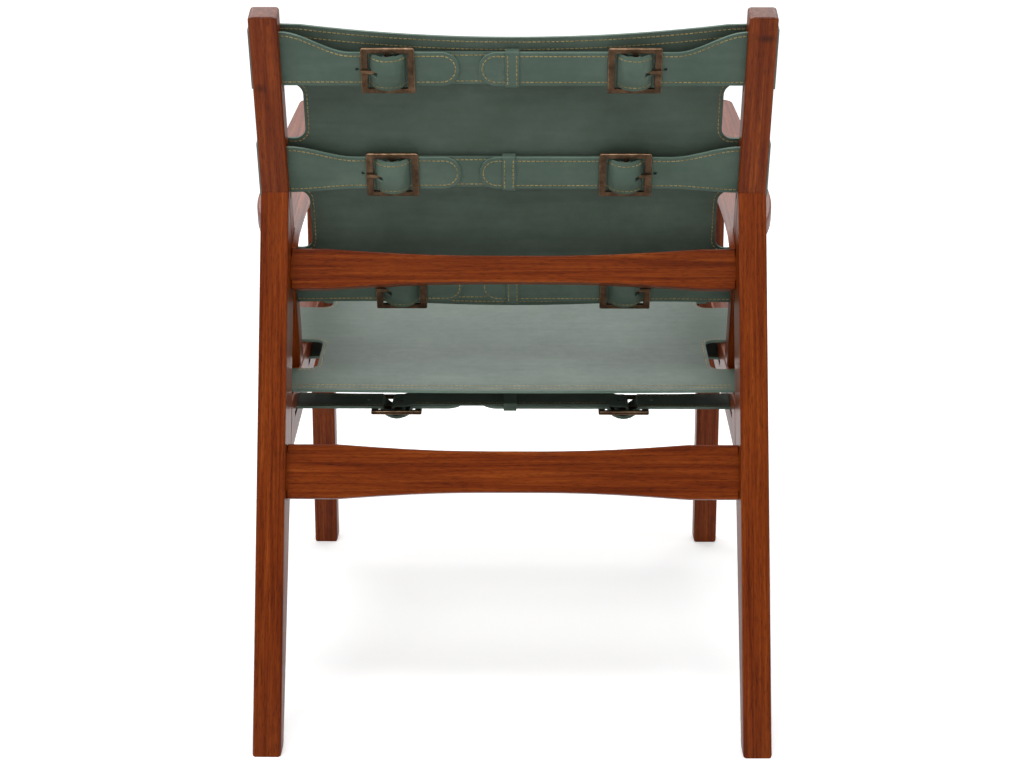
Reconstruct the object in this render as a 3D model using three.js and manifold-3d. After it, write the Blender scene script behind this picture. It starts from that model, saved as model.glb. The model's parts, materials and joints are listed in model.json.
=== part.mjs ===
// A lounge chair: two wooden side frames, three waisted cross rails, and a leather back and seat.
// Each leather sling goes round the side members, through slots in them, and is drawn tight behind
// by three straps with a buckle at each end.
//
// Axes: x to the sitter's left, y to the rear, z up. Millimetres and degrees.

import * as THREE from 'three';
import { mergeVertices } from 'three/addons/utils/BufferGeometryUtils.js';
import Module from 'manifold-3d';

const wasm = await Module();
wasm.setup();

// Fits
const FIT = 0.3; // gap left between pieces that touch
const ARRIS = 3; // rounding along the wood's edges

// Side frames, measured forwards from the back of a rear foot
const FRAME_WIDTH = 570; // over the outer faces of the legs
const MEMBER_WIDTH = 31.5; // legs, posts and side rails, across the chair
const LEG_RAKE = 21; // rear leg from the vertical
const KINK_HEIGHT = 588; // where the rear leg meets the back of the post
const FOOT_DEPTH = 29;
const TOE_ROUND = 4.5;
const KNEE_HEIGHT = 250; // where the rear leg's front edge bends
const KNEE_DEPTH = 61;
const LEG_LAP = 100; // length of the rear leg's top that lies along the post
const LAP_TENON = 55; // middle of the tenon between leg and post, below the kink

const RECLINE = 19.4; // back post from the vertical
const POST_DEPTH = 31;
const POST_ABOVE_KINK = 212.5;

const FRONT_LEG_REACH = 713; // from the back of a rear foot to the back of a front leg
const FRONT_LEG_DEPTH = 33;

const SEAT_SLOPE = 6.84; // side rails rise towards the front
const SEAT_FRONT_HEIGHT = 412; // top of the side rail at the front leg
const SIDE_RAIL_HEIGHT = 57;

const ARM_DROP = 65; // arm's top edge below the kink, along the front of the post
const ARM_SLOPE = 9.7;
const ARM_LENGTH = 505;
const ARM_THICKNESS = 22;
const ARM_INSIDE = 8.5; // inner edge at the post, in from the legs' inner faces
const ARM_INSIDE_SWELL = 3.5; // further in where the arm is widest
const ARM_REAR_PROUD = 2; // outer edge at the post, out from the legs' outer faces
const ARM_WIDEST_PROUD = 24;
const ARM_WIDEST_AT = 120; // from the post
const ARM_FRONT_PROUD = 12;
const ARM_CORNER = 18;

// Cross rails
const RAIL_THICKNESS = 20;
const BACK_RAIL = { height: 46, waist: 30.5, flat: 38 };
const STRETCHER = { height: 61, waist: 46, flat: 56 };
const FRONT_RAIL = { height: 50, waist: 36, flat: 45 };
const BACK_RAIL_HEIGHT = 495.6; // height of its centre
const BACK_RAIL_INSET = 37.5; // in from the rear face of the rear leg
const STRETCHER_HEIGHT = 284.4;
const STRETCHER_INSET = 20;
const FRONT_RAIL_DROP = 54; // top edge below the side rail's top

// Tenons, one size for the side members and one length for the cross rails
const TENON_WIDTH = 12;
const TENON_LENGTH = 16;
const TENON_SHOULDER = 9;
const TENON_ROOT = 2; // a tenon starts this far inside its own member
const RAIL_SHOULDER = 13.5; // side rail's tenons, in from its top and bottom

// Leather
const HIDE = 3.2; // thickness of the slings
const STRAP_HIDE = 2.6; // thickness of the centre straps
const KEEPER_HIDE = 2;
const STRAP_WIDTH = 39;
const STRAP_TAPER = 60; // length over which a tab narrows to its strap
const NOTCH_INSET = 20; // notches end this far in from the side members
const NOTCH_RADIUS = 2;
const SLOT_SPARE = 1.6; // room each side of the hide in its slot
const SLOT_END_SPARE = 1.5;
const TURN_RADIUS = 3; // middle of the hide where it turns into the slot
const SHORT_TIP = 59; // left billet's tip, left of the centre plane
const LONG_TIP = 38; // right billet's tip, left of the centre plane

// Buckles
const BUCKLE_LENGTH = 59;
const BUCKLE_BAR = 9.5; // end bars
const BUCKLE_SIDE = 6.5; // side bars
const BUCKLE_THICKNESS = 4.5;
const BUCKLE_CORNER = 5;
const BUCKLE_EDGE = 0.8; // rounding of the frame's outer edge
const CENTRE_BAR = 5;
const WINDOW_SPARE = 1; // window beyond the strap's edges
const BILLET_RISE = 13.4; // the billet's hump over the centre bar
const LOOP_RADIUS = 5; // middle of the centre strap round the bar
// The centre strap before and after its loop, in loop radii inwards from the bar and above it
const FOLD_LEAD = { rise: 2.8, level: 1.4 };
const FOLD_TAIL = [[0.8, 0.64], [1.6, -0.2], [2, -0.56]];
const EYE_INNER = 3.8; // prong's eye round the bar
const EYE_OUTER = 5.4;
const PRONG_WIDTH = 4;
const PRONG_OVERHANG = 0.5; // tip past the end bar
const PRONG_TIP = 1.8; // thickness at the tip
const PRONG_ROOT = 3; // thickness at the end bar's inner edge
const TONGUE_ANGLES = [10, 60]; // where the tongue leaves the eye
const PRONG_SLOT = 5.6; // width of the slots that the prong passes through
const SLOT_NEAR = 2.5; // ends of the billet's slot, from the centre bar
const SLOT_FAR = 17.5;
const KEEPER_LENGTH = 15;
const KEEPER_SPARE = 0.4;

// Each tab runs from lo to hi along its side member, and its strap narrows to the given centre. left
// and right are the buckles' centre bars and keeper the keeper's middle, from the centre plane.
const BACK_LOW = { lo: -155.5, hi: -92, strap: -134.5, left: 131, right: 130, keeper: 1 };
const BACK_MIDDLE = { lo: -15.5, hi: 51.5, strap: 16.5, left: 136, right: 126, keeper: 5 };
const BACK_TOP = { lo: 119.5, hi: 190.5, strap: 145.5, left: 137, right: 133, keeper: 1 };
const SEAT_FRONT = { lo: 38, hi: 108, strap: 80, left: 136, right: 132, keeper: 0 };
const SEAT_MIDDLE = { lo: 211, hi: 327, strap: 269, left: 134, right: 131, keeper: 2 };
const SEAT_REAR = { lo: 424, hi: 490, strap: 449, left: 137, right: 129, keeper: 4 };
const BACK_TABS = [BACK_LOW, BACK_MIDDLE, BACK_TOP];
const SEAT_TABS = [SEAT_FRONT, SEAT_MIDDLE, SEAT_REAR];
const BACK_SLOT_DEPTH = 16; // middle of the slot behind the post's front face
const SEAT_SLOT_DEPTH = 28; // middle of the slot below the side rail's top
const BACK_SAG = 8;
const SEAT_SAG = 1.5;
const BACK_DIP = 12; // the back's top edge is cut lower in the middle
const SEAT_DIP = 0;

// Steps along the leather's curves
const PANEL_STEPS = 5;
const CORNER_PARTS = [0.15, 0.5, 1];
const TURN_ANGLES = [0, 30, 60, 90];
const LOOP_ANGLES = [-90, -45, 0, 45, 90];
const TAPER_PARTS = [0, 0.25, 0.5, 0.75, 1];
const SLOT_PARTS = [0, 0.2, 0.4, 0.6, 0.8, 1];
const TIP_PARTS = [1, 0.6, 0.3, 0.1, 0.01];

// Finishes
const WOOD = { color: 0x7a3a16, roughness: 0.38, metalness: 0 };
const LEATHER = { color: 0x4c6356, roughness: 0.6, metalness: 0 };
const BRONZE = { color: 0x6a4632, roughness: 0.4, metalness: 0.9 };

// Derived places
const OUTER = FRAME_WIDTH / 2;
const INNER = OUTER - MEMBER_WIDTH;
const rad = THREE.MathUtils.degToRad;
const ARM_INNER = INNER - ARM_INSIDE;
const ARM_WIDEST_INNER = ARM_INNER - ARM_INSIDE_SWELL;
const ARM_REAR_OUTER = OUTER + ARM_REAR_PROUD;
const ARM_WIDEST_OUTER = OUTER + ARM_WIDEST_PROUD;
const ARM_FRONT_OUTER = OUTER + ARM_FRONT_PROUD;
const KINK = new THREE.Vector2(-KINK_HEIGHT * Math.tan(rad(LEG_RAKE)), KINK_HEIGHT);
const KNEE = new THREE.Vector2(-KNEE_HEIGHT * Math.tan(rad(LEG_RAKE)) - KNEE_DEPTH, KNEE_HEIGHT);
const FRONT_FACE = -FRONT_LEG_REACH;

// A frame whose z leans back by lean degrees, standing at (y, z).
function leaningFrame(y, z, lean) {
  const turn = new THREE.Matrix4().makeRotationX(-rad(lean));
  return new THREE.Matrix4().makeTranslation(0, y, z).multiply(turn);
}

const BACK_FRAME = leaningFrame(KINK.x, KINK.y, RECLINE);
const SEAT_FRAME = leaningFrame(FRONT_FACE, SEAT_FRONT_HEIGHT, SEAT_SLOPE);

function inFrame(frame, y, z) {
  const point = new THREE.Vector3(0, y, z).applyMatrix4(frame);
  return new THREE.Vector2(point.y, point.z);
}

// Where the line from p along direction d crosses the line from q along e, in the side view.
function crossing(p, d, q, e) {
  const t = ((q.x - p.x) * e.y - (q.y - p.y) * e.x) / (d.x * e.y - d.y * e.x);
  return p.clone().addScaledVector(d, t);
}

function direction(frame, y, z) {
  return inFrame(frame, y, z).sub(inFrame(frame, 0, 0));
}

// Solids
function solidOf(geometry) {
  const bare = geometry.clone();
  bare.deleteAttribute('normal');
  bare.deleteAttribute('uv');
  const merged = mergeVertices(bare, 1e-4);
  return new wasm.Manifold(new wasm.Mesh({
    numProp: 3,
    vertProperties: new Float32Array(merged.attributes.position.array),
    triVerts: new Uint32Array(merged.index.array),
  }));
}

function geometryOf(solid) {
  const mesh = solid.getMesh();
  const geometry = new THREE.BufferGeometry();
  geometry.setAttribute('position', new THREE.BufferAttribute(new Float32Array(mesh.vertProperties), 3));
  geometry.setIndex(new THREE.BufferAttribute(new Uint32Array(mesh.triVerts), 1));
  return geometry;
}

function blockSolid(x, y, z, frame) {
  const geometry = new THREE.BoxGeometry(x[1] - x[0], y[1] - y[0], z[1] - z[0]);
  geometry.translate((x[0] + x[1]) / 2, (y[0] + y[1]) / 2, (z[0] + z[1]) / 2);
  return solidOf(geometry.applyMatrix4(frame));
}

function roundedExtrude(shape, depth, edge, segments, curveSegments = 6) {
  return new THREE.ExtrudeGeometry(shape, {
    depth: depth - 2 * edge,
    bevelThickness: edge,
    bevelSize: edge,
    bevelOffset: -edge,
    bevelSegments: segments,
    curveSegments,
  }).translate(0, 0, edge);
}

// A plank cut to a side profile, with its grain plane upright and its faces at x0 and x0 + width.
const PROFILE_BASIS = new THREE.Matrix4().makeBasis(
  new THREE.Vector3(0, 1, 0), new THREE.Vector3(0, 0, 1), new THREE.Vector3(1, 0, 0));

function plank(points, x0 = INNER, width = MEMBER_WIDTH) {
  const geometry = roundedExtrude(new THREE.Shape(points), width, ARRIS, 2);
  return solidOf(geometry.applyMatrix4(PROFILE_BASIS).translate(x0, 0, 0));
}

// A tenon is added to one solid and its mortise, larger by the fit, is cut from the other.
function tenonJoint(joints, from, into, y, z, frame) {
  const middle = (INNER + OUTER) / 2;
  const half = TENON_WIDTH / 2;
  const grow = ([lo, hi]) => [lo - FIT, hi + FIT];
  const x = [middle - half, middle + half];
  joints[from] = joints[from].add(blockSolid(x, y, z, frame));
  joints[into] = joints[into].subtract(blockSolid(grow(x), grow(y), grow(z), frame));
}

// Side members
function rearLeg() {
  const slope = Math.tan(rad(LEG_RAKE));
  const lapTop = inFrame(BACK_FRAME, FIT, -FIT);
  const lapEnd = inFrame(BACK_FRAME, FIT, -LEG_LAP);
  return plank([
    new THREE.Vector2(0, 0),
    lapTop,
    lapEnd,
    KNEE,
    new THREE.Vector2(-FOOT_DEPTH - TOE_ROUND * slope, TOE_ROUND),
    new THREE.Vector2(-FOOT_DEPTH + TOE_ROUND, 0),
  ]);
}

function backPost() {
  const along = direction(BACK_FRAME, 0, 1);
  const railTop = inFrame(SEAT_FRAME, 0, FIT);
  const railAlong = direction(SEAT_FRAME, 1, 0);
  const foot = (y) => crossing(inFrame(BACK_FRAME, y, 0), along, railTop, railAlong);
  return plank([
    inFrame(BACK_FRAME, 0, POST_ABOVE_KINK),
    inFrame(BACK_FRAME, -POST_DEPTH, POST_ABOVE_KINK),
    foot(-POST_DEPTH),
    foot(0),
  ]);
}

// Ends of the side rail's top and bottom edges: on the rear leg's front edge and on the front leg.
function sideRail() {
  const gap = new THREE.Vector2(FIT, 0);
  const knee = KNEE.clone().sub(gap);
  const legFront = inFrame(BACK_FRAME, FIT, -LEG_LAP).sub(gap).sub(knee);
  const along = direction(SEAT_FRAME, 1, 0);
  const upright = new THREE.Vector2(0, 1);
  const front = new THREE.Vector2(FRONT_FACE + FIT, 0);
  const edge = (z) => [
    crossing(inFrame(SEAT_FRAME, 0, z), along, front, upright),
    crossing(inFrame(SEAT_FRAME, 0, z), along, knee, legFront),
  ];
  const [topFront, topRear] = edge(0);
  const [lowFront, lowRear] = edge(-SIDE_RAIL_HEIGHT);
  return plank([topFront, topRear, lowRear, lowFront]);
}

const ARM_FRAME = new THREE.Matrix4().multiplyMatrices(
  leaningFrame(0, 0, 0).setPosition(
    new THREE.Vector3(0, -POST_DEPTH - FIT, -ARM_DROP).applyMatrix4(BACK_FRAME)),
  new THREE.Matrix4().makeRotationX(-rad(ARM_SLOPE)));

function frontLeg() {
  const along = direction(ARM_FRAME, 1, 0);
  const under = inFrame(ARM_FRAME, 0, -ARM_THICKNESS - FIT);
  const upright = new THREE.Vector2(0, 1);
  const top = (y) => crossing(under, along, new THREE.Vector2(y, 0), upright);
  const front = FRONT_FACE - FRONT_LEG_DEPTH;
  return plank([
    new THREE.Vector2(FRONT_FACE, 0), top(FRONT_FACE), top(front), new THREE.Vector2(front, 0),
  ]);
}

// The arm is a board that swells in front of the post. Most of its rear end lies along the post's front
// face, and a strip of it runs on past the post's inner face to end on the upper back rail.
function arm() {
  const shape = new THREE.Shape();
  shape.moveTo(ARM_INNER, 0);
  shape.quadraticCurveTo(ARM_INNER, -ARM_WIDEST_AT / 2, ARM_WIDEST_INNER, -ARM_WIDEST_AT);
  shape.lineTo(ARM_WIDEST_INNER, -ARM_LENGTH + ARM_CORNER);
  shape.quadraticCurveTo(ARM_WIDEST_INNER, -ARM_LENGTH, ARM_WIDEST_INNER + ARM_CORNER, -ARM_LENGTH);
  shape.lineTo(ARM_FRONT_OUTER - ARM_CORNER, -ARM_LENGTH);
  shape.quadraticCurveTo(ARM_FRONT_OUTER, -ARM_LENGTH, ARM_FRONT_OUTER, -ARM_LENGTH + ARM_CORNER);
  shape.bezierCurveTo(
    ARM_WIDEST_OUTER, -ARM_LENGTH / 2, ARM_WIDEST_OUTER, -ARM_WIDEST_AT * 1.5,
    ARM_WIDEST_OUTER, -ARM_WIDEST_AT);
  shape.quadraticCurveTo(ARM_WIDEST_OUTER, -ARM_WIDEST_AT / 2, ARM_REAR_OUTER, 0);
  const spare = 2 * POST_DEPTH;
  shape.lineTo(ARM_REAR_OUTER, spare);
  shape.lineTo(ARM_INNER, spare);
  const board = roundedExtrude(shape, ARM_THICKNESS, ARRIS, 2).translate(0, 0, -ARM_THICKNESS);
  const far = ARM_LENGTH;
  const post = blockSolid(
    [INNER - FIT, FRAME_WIDTH], [-POST_DEPTH - FIT, far], [-far, far], BACK_FRAME);
  const railTop = blockSolid(
    [0, FRAME_WIDTH], [-RAIL_THICKNESS / 2 - FIT, far], [-far, BACK_RAIL.height / 2 + FIT], BACK_RAIL_FRAME);
  const behindRail = blockSolid([0, FRAME_WIDTH], [RAIL_THICKNESS / 2, far], [-far, far], BACK_RAIL_FRAME);
  return solidOf(board.applyMatrix4(ARM_FRAME)).subtract(post).subtract(railTop).subtract(behindRail);
}

// Cross rails: flat at the ends and waisted between, with a tenon into each leg.
function crossRail({ height, waist, flat }, frame) {
  const half = height / 2;
  const neck = waist / 2;
  const end = INNER - FIT;
  const tip = INNER + TENON_LENGTH;
  const cheek = half - TENON_SHOULDER;
  const reach = end - flat;
  const shape = new THREE.Shape();
  shape.moveTo(-tip, -cheek);
  shape.lineTo(-end, -cheek);
  shape.lineTo(-end, -half);
  shape.lineTo(-reach, -half);
  shape.bezierCurveTo(-reach / 2, -neck, -reach / 3, -neck, 0, -neck);
  shape.bezierCurveTo(reach / 3, -neck, reach / 2, -neck, reach, -half);
  shape.lineTo(end, -half);
  shape.lineTo(end, -cheek);
  shape.lineTo(tip, -cheek);
  shape.lineTo(tip, cheek);
  shape.lineTo(end, cheek);
  shape.lineTo(end, half);
  shape.lineTo(reach, half);
  shape.bezierCurveTo(reach / 2, neck, reach / 3, neck, 0, neck);
  shape.bezierCurveTo(-reach / 3, neck, -reach / 2, neck, -reach, half);
  shape.lineTo(-end, half);
  shape.lineTo(-end, cheek);
  shape.lineTo(-tip, cheek);
  const board = roundedExtrude(shape, RAIL_THICKNESS, ARRIS / 2, 2);
  board.rotateX(Math.PI / 2).translate(0, RAIL_THICKNESS / 2, 0);
  return board.applyMatrix4(frame);
}

function crossMortise({ height }, frame) {
  const depth = RAIL_THICKNESS / 2 + FIT;
  const cheek = height / 2 - TENON_SHOULDER + FIT;
  return blockSolid([0, INNER + TENON_LENGTH + FIT], [-depth, depth], [-cheek, cheek], frame);
}

const rearRailFrame = (height, inset) => leaningFrame(
  -height * Math.tan(rad(LEG_RAKE)) - inset - RAIL_THICKNESS / 2, height, -LEG_RAKE);
const BACK_RAIL_FRAME = rearRailFrame(BACK_RAIL_HEIGHT, BACK_RAIL_INSET);
const STRETCHER_FRAME = rearRailFrame(STRETCHER_HEIGHT, STRETCHER_INSET);
const FRONT_RAIL_FRAME = leaningFrame(
  FRONT_FACE - FRONT_LEG_DEPTH / 2,
  SEAT_FRONT_HEIGHT - FRONT_RAIL_DROP - FRONT_RAIL.height / 2, 0);

// A slot through a side member for each tab, in the sling's own frame.
function cutSlots(solid, tabs, depth, frame) {
  const half = HIDE / 2 + SLOT_SPARE;
  let cut = solid;
  for (const { lo, hi } of tabs) {
    cut = cut.subtract(blockSolid(
      [0, FRAME_WIDTH], [depth - half, depth + half],
      [lo - SLOT_END_SPARE, hi + SLOT_END_SPARE], frame));
  }
  return cut;
}

// Sling frames: x across, y away from the sitter, z along the side member.
const BACK_SLING_FRAME = BACK_FRAME.clone().multiply(
  new THREE.Matrix4().makeTranslation(0, -POST_DEPTH, 0));
const SEAT_SLING_FRAME = SEAT_FRAME.clone().multiply(
  new THREE.Matrix4().makeRotationX(-Math.PI / 2));

function sideMembers() {
  const side = {
    rear_leg: rearLeg(),
    back_post: backPost(),
    side_rail: sideRail(),
    front_leg: frontLeg(),
    arm: arm(),
  };
  const reach = TENON_LENGTH / 2;
  tenonJoint(side, 'rear_leg', 'back_post',
    [-reach, TENON_ROOT], [-LAP_TENON - reach, -LAP_TENON + reach], BACK_FRAME);

  const railMiddle = -SIDE_RAIL_HEIGHT / 2;
  const railZ = [-SIDE_RAIL_HEIGHT + RAIL_SHOULDER, -RAIL_SHOULDER];
  tenonJoint(side, 'side_rail', 'front_leg', [-TENON_LENGTH, TENON_ROOT], railZ, SEAT_FRAME);
  const frontEnd = inFrame(SEAT_FRAME, 0, railMiddle);
  const rearEnd = crossing(
    frontEnd, direction(SEAT_FRAME, 1, 0),
    KNEE, inFrame(BACK_FRAME, 0, -LEG_LAP).sub(KNEE)).distanceTo(frontEnd);
  tenonJoint(side, 'side_rail', 'rear_leg',
    [rearEnd - TENON_LENGTH, rearEnd + TENON_LENGTH], railZ, SEAT_FRAME);

  const footY = crossing(
    inFrame(BACK_FRAME, -POST_DEPTH / 2, 0), direction(BACK_FRAME, 0, 1),
    inFrame(SEAT_FRAME, 0, 0), direction(SEAT_FRAME, 1, 0));
  const footFrame = leaningFrame(footY.x, footY.y, RECLINE);
  const footHalf = POST_DEPTH / 2 - TENON_SHOULDER;
  tenonJoint(side, 'back_post', 'side_rail',
    [-footHalf, footHalf], [-TENON_LENGTH, TENON_LENGTH], footFrame);

  const armZ = -ARM_THICKNESS / 2;
  tenonJoint(side, 'arm', 'back_post',
    [-TENON_LENGTH, reach], [armZ - reach / 2, armZ + reach / 2], ARM_FRAME);
  const legTop = crossing(
    inFrame(ARM_FRAME, 0, -ARM_THICKNESS), direction(ARM_FRAME, 1, 0),
    new THREE.Vector2(FRONT_FACE - FRONT_LEG_DEPTH / 2, 0), new THREE.Vector2(0, 1));
  const legTopFrame = leaningFrame(legTop.x, legTop.y, 0);
  tenonJoint(side, 'front_leg', 'arm',
    [-reach, reach], [-TENON_LENGTH, ARM_THICKNESS / 2], legTopFrame);

  side.rear_leg = side.rear_leg
    .subtract(crossMortise(BACK_RAIL, BACK_RAIL_FRAME))
    .subtract(crossMortise(STRETCHER, STRETCHER_FRAME));
  side.front_leg = side.front_leg.subtract(crossMortise(FRONT_RAIL, FRONT_RAIL_FRAME));
  side.back_post = cutSlots(side.back_post, BACK_TABS, BACK_SLOT_DEPTH, BACK_SLING_FRAME);
  side.side_rail = cutSlots(side.side_rail, SEAT_TABS, SEAT_SLOT_DEPTH, SEAT_SLING_FRAME);
  return side;
}

// A sheet of leather along a path in x and y. Each station has a row of x and z values; a cell between
// two stations and two rows is leather unless it is cut away.
function sheetGeometry(stations, thickness, isCut) {
  const rows = stations[0].z.length;
  const positions = [];
  const last = stations.length - 1;
  stations.forEach((station, i) => {
    const before = stations[Math.max(i - 1, 0)];
    const after = stations[Math.min(i + 1, last)];
    for (const side of [1, -1]) {
      station.z.forEach((z, j) => {
        const x = station.x[j];
        const back = new THREE.Vector2(x - before.x[j], station.y - before.y).normalize();
        const ahead = new THREE.Vector2(after.x[j] - x, after.y - station.y).normalize();
        const along = back.clone().add(ahead).normalize();
        const offset = thickness / 2 / Math.max(along.dot(i > 0 ? back : ahead), 0.5);
        positions.push(x - along.y * offset * side, station.y + along.x * offset * side, z);
      });
    }
  });
  const vertex = (i, side, j) => (i * 2 + side) * rows + j;
  const solid = (i, j) => i >= 0 && i < last && j >= 0 && j < rows - 1 && !isCut(i, j);
  const index = [];
  const quad = (a, b, c, d) => index.push(a, b, c, a, c, d);
  for (let i = 0; i < last; i += 1) {
    for (let j = 0; j < rows - 1; j += 1) {
      if (!solid(i, j)) continue;
      const near = (di, dj) => vertex(i + di, 0, j + dj);
      const far = (di, dj) => vertex(i + di, 1, j + dj);
      quad(near(0, 0), near(0, 1), near(1, 1), near(1, 0));
      quad(far(0, 0), far(1, 0), far(1, 1), far(0, 1));
      if (!solid(i - 1, j)) quad(near(0, 1), near(0, 0), far(0, 0), far(0, 1));
      if (!solid(i + 1, j)) quad(near(1, 0), near(1, 1), far(1, 1), far(1, 0));
      if (!solid(i, j - 1)) quad(near(0, 0), near(1, 0), far(1, 0), far(0, 0));
      if (!solid(i, j + 1)) quad(near(1, 1), near(0, 1), far(0, 1), far(1, 1));
    }
  }
  const geometry = new THREE.BufferGeometry();
  geometry.setAttribute('position', new THREE.Float32BufferAttribute(positions, 3));
  geometry.setIndex(index);
  return compact(geometry);
}

// Drops the vertices that no triangle uses.
function compact(geometry) {
  const bare = geometry.toNonIndexed();
  return mergeVertices(bare, 1e-4);
}

// The hump that a billet makes over the centre bar, at a distance from the bar.
const HUMP_REACH = (BUCKLE_LENGTH / 2) - BUCKLE_BAR;
const hump = (d) => (Math.abs(d) < HUMP_REACH
  ? BILLET_RISE * 0.5 * (1 + Math.cos(Math.PI * d / HUMP_REACH)) : 0);
const HUMP_STOPS = [
  HUMP_REACH,
  ...SLOT_PARTS.map((part) => THREE.MathUtils.lerp(SLOT_FAR, SLOT_NEAR, part)),
  ...SLOT_PARTS.map((part) => -HUMP_REACH * part),
];

// One side of a sling, from the middle of the panel out round the side member and back through its
// slot to the billets' tips. sign is 1 on the left and -1 on the right.
function slingSide(sign, tabs, slotDepth, sag, dip, tip) {
  const front = -FIT - HIDE / 2;
  const notch = INNER - NOTCH_INSET;
  const bow = (x) => front + sag * Math.max(0, 1 - (x / INNER) ** 2);
  const half = STRAP_WIDTH / 2;
  const stations = [];

  // place gives the x of a tab's rows, corner widens a tab at a notch's rounded corner, narrow runs from
  // 0 at the slot to 1 at the strap and nose scales the strap's half width at its tip.
  const add = (place, y, options) => {
    const { corner = 0, narrow = 0, nose = 1, beyond = true, slotted = false, dipped = 0 } = options;
    const x = tabs.flatMap((tab) => Array(4).fill(sign * place(tab)));
    const z = tabs.flatMap(({ lo, hi, strap }, k) => {
      const ease = narrow * narrow * (3 - 2 * narrow);
      const low = THREE.MathUtils.lerp(k > 0 ? lo - corner : lo, strap - half * nose, ease);
      const high = THREE.MathUtils.lerp(
        k < tabs.length - 1 ? hi + corner : hi - dipped, strap + half * nose, ease);
      const hole = Math.min(PRONG_SLOT / 2, half * nose * 0.3);
      return [low, strap - hole, strap + hole, high];
    });
    stations.push({ x, y, z, beyond, slotted });
  };

  for (let k = 0; k <= PANEL_STEPS; k += 1) {
    const x = notch * k / PANEL_STEPS;
    const dipped = dip * (1 - (x / notch) ** 2);
    add(() => x, bow(x), { corner: NOTCH_RADIUS, beyond: k === PANEL_STEPS, dipped });
  }
  for (const part of CORNER_PARTS) {
    const d = NOTCH_RADIUS * part;
    const corner = NOTCH_RADIUS - Math.sqrt(NOTCH_RADIUS ** 2 - (NOTCH_RADIUS - d) ** 2);
    add(() => notch + d, bow(notch + d), { corner });
  }
  add(() => INNER, front, {});

  const wrap = ARRIS + FIT + HIDE / 2;
  for (const angle of TURN_ANGLES.map(rad)) {
    add(() => OUTER - ARRIS + wrap * Math.sin(angle), ARRIS - wrap * Math.cos(angle), {});
  }
  const turnX = OUTER + FIT + HIDE / 2 - TURN_RADIUS;
  for (const angle of TURN_ANGLES.map(rad)) {
    const y = slotDepth - TURN_RADIUS + TURN_RADIUS * Math.sin(angle);
    add(() => turnX + TURN_RADIUS * Math.cos(angle), y, {});
  }
  for (const narrow of TAPER_PARTS) {
    add(() => INNER - narrow * STRAP_TAPER, slotDepth, { narrow });
  }
  for (const d of HUMP_STOPS) {
    const slotted = d <= SLOT_FAR && d >= SLOT_NEAR;
    add((tab) => tab[sign > 0 ? 'left' : 'right'] + d, slotDepth + hump(d), { narrow: 1, slotted });
  }
  for (const part of TIP_PARTS) {
    const nose = Math.sqrt(1 - (1 - part) ** 2);
    add(() => tip + half * part, slotDepth, { narrow: 1, nose });
  }
  return stations;
}

function slingGeometry(tabs, slotDepth, sag, dip) {
  const left = slingSide(1, tabs, slotDepth, sag, dip, SHORT_TIP);
  const right = slingSide(-1, tabs, slotDepth, sag, dip, -LONG_TIP);
  const stations = [...right.slice(1).reverse(), ...left];
  const isCut = (i, j) => {
    const a = stations[i];
    const b = stations[i + 1];
    const inNotch = j % 4 === 3;
    const inHole = j % 4 === 1;
    return (inNotch && a.beyond && b.beyond) || (inHole && a.slotted && b.slotted);
  };
  return sheetGeometry(stations, HIDE, isCut);
}

// Stack behind the panel, measured from the middle of the billet.
const STRAP_LEVEL = -(HIDE + STRAP_HIDE) / 2 - FIT;
const BAR_LEVEL = HIDE / 2 + FIT + BUCKLE_THICKNESS / 2;

// The centre strap lies under both billets and folds round the centre bar at each end, with a slot
// in the fold for the prong.
function centreStrapGeometry({ left, right }) {
  const half = STRAP_WIDTH / 2;
  const hole = PRONG_SLOT / 2;
  const z = [-half, -hole, hole, half];
  const low = BAR_LEVEL - LOOP_RADIUS;
  const side = [
    { d: -HUMP_REACH, y: STRAP_LEVEL },
    { d: -FOLD_LEAD.rise * LOOP_RADIUS, y: (STRAP_LEVEL + low) / 2 },
    { d: -FOLD_LEAD.level * LOOP_RADIUS, y: low, slotted: true },
    ...LOOP_ANGLES.map((angle) => ({
      d: LOOP_RADIUS * Math.cos(rad(angle)),
      y: BAR_LEVEL + LOOP_RADIUS * Math.sin(rad(angle)),
      slotted: true,
    })),
    ...FOLD_TAIL.map(([inwards, above], k) => ({
      d: -inwards * LOOP_RADIUS,
      y: BAR_LEVEL + above * LOOP_RADIUS,
      slotted: k < FOLD_TAIL.length - 1,
    })),
  ];
  const row = (x) => z.map(() => x);
  const place = (sign, reach) => side.map(
    ({ d, y, slotted }) => ({ x: row(sign * (reach + d)), y, z, slotted }));
  const stations = [
    ...place(-1, right).reverse(), { x: row(0), y: STRAP_LEVEL, z }, ...place(1, left),
  ];
  return sheetGeometry(stations, STRAP_HIDE, (i, j) => (
    j === 1 && Boolean(stations[i].slotted) && Boolean(stations[i + 1].slotted)));
}

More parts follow.
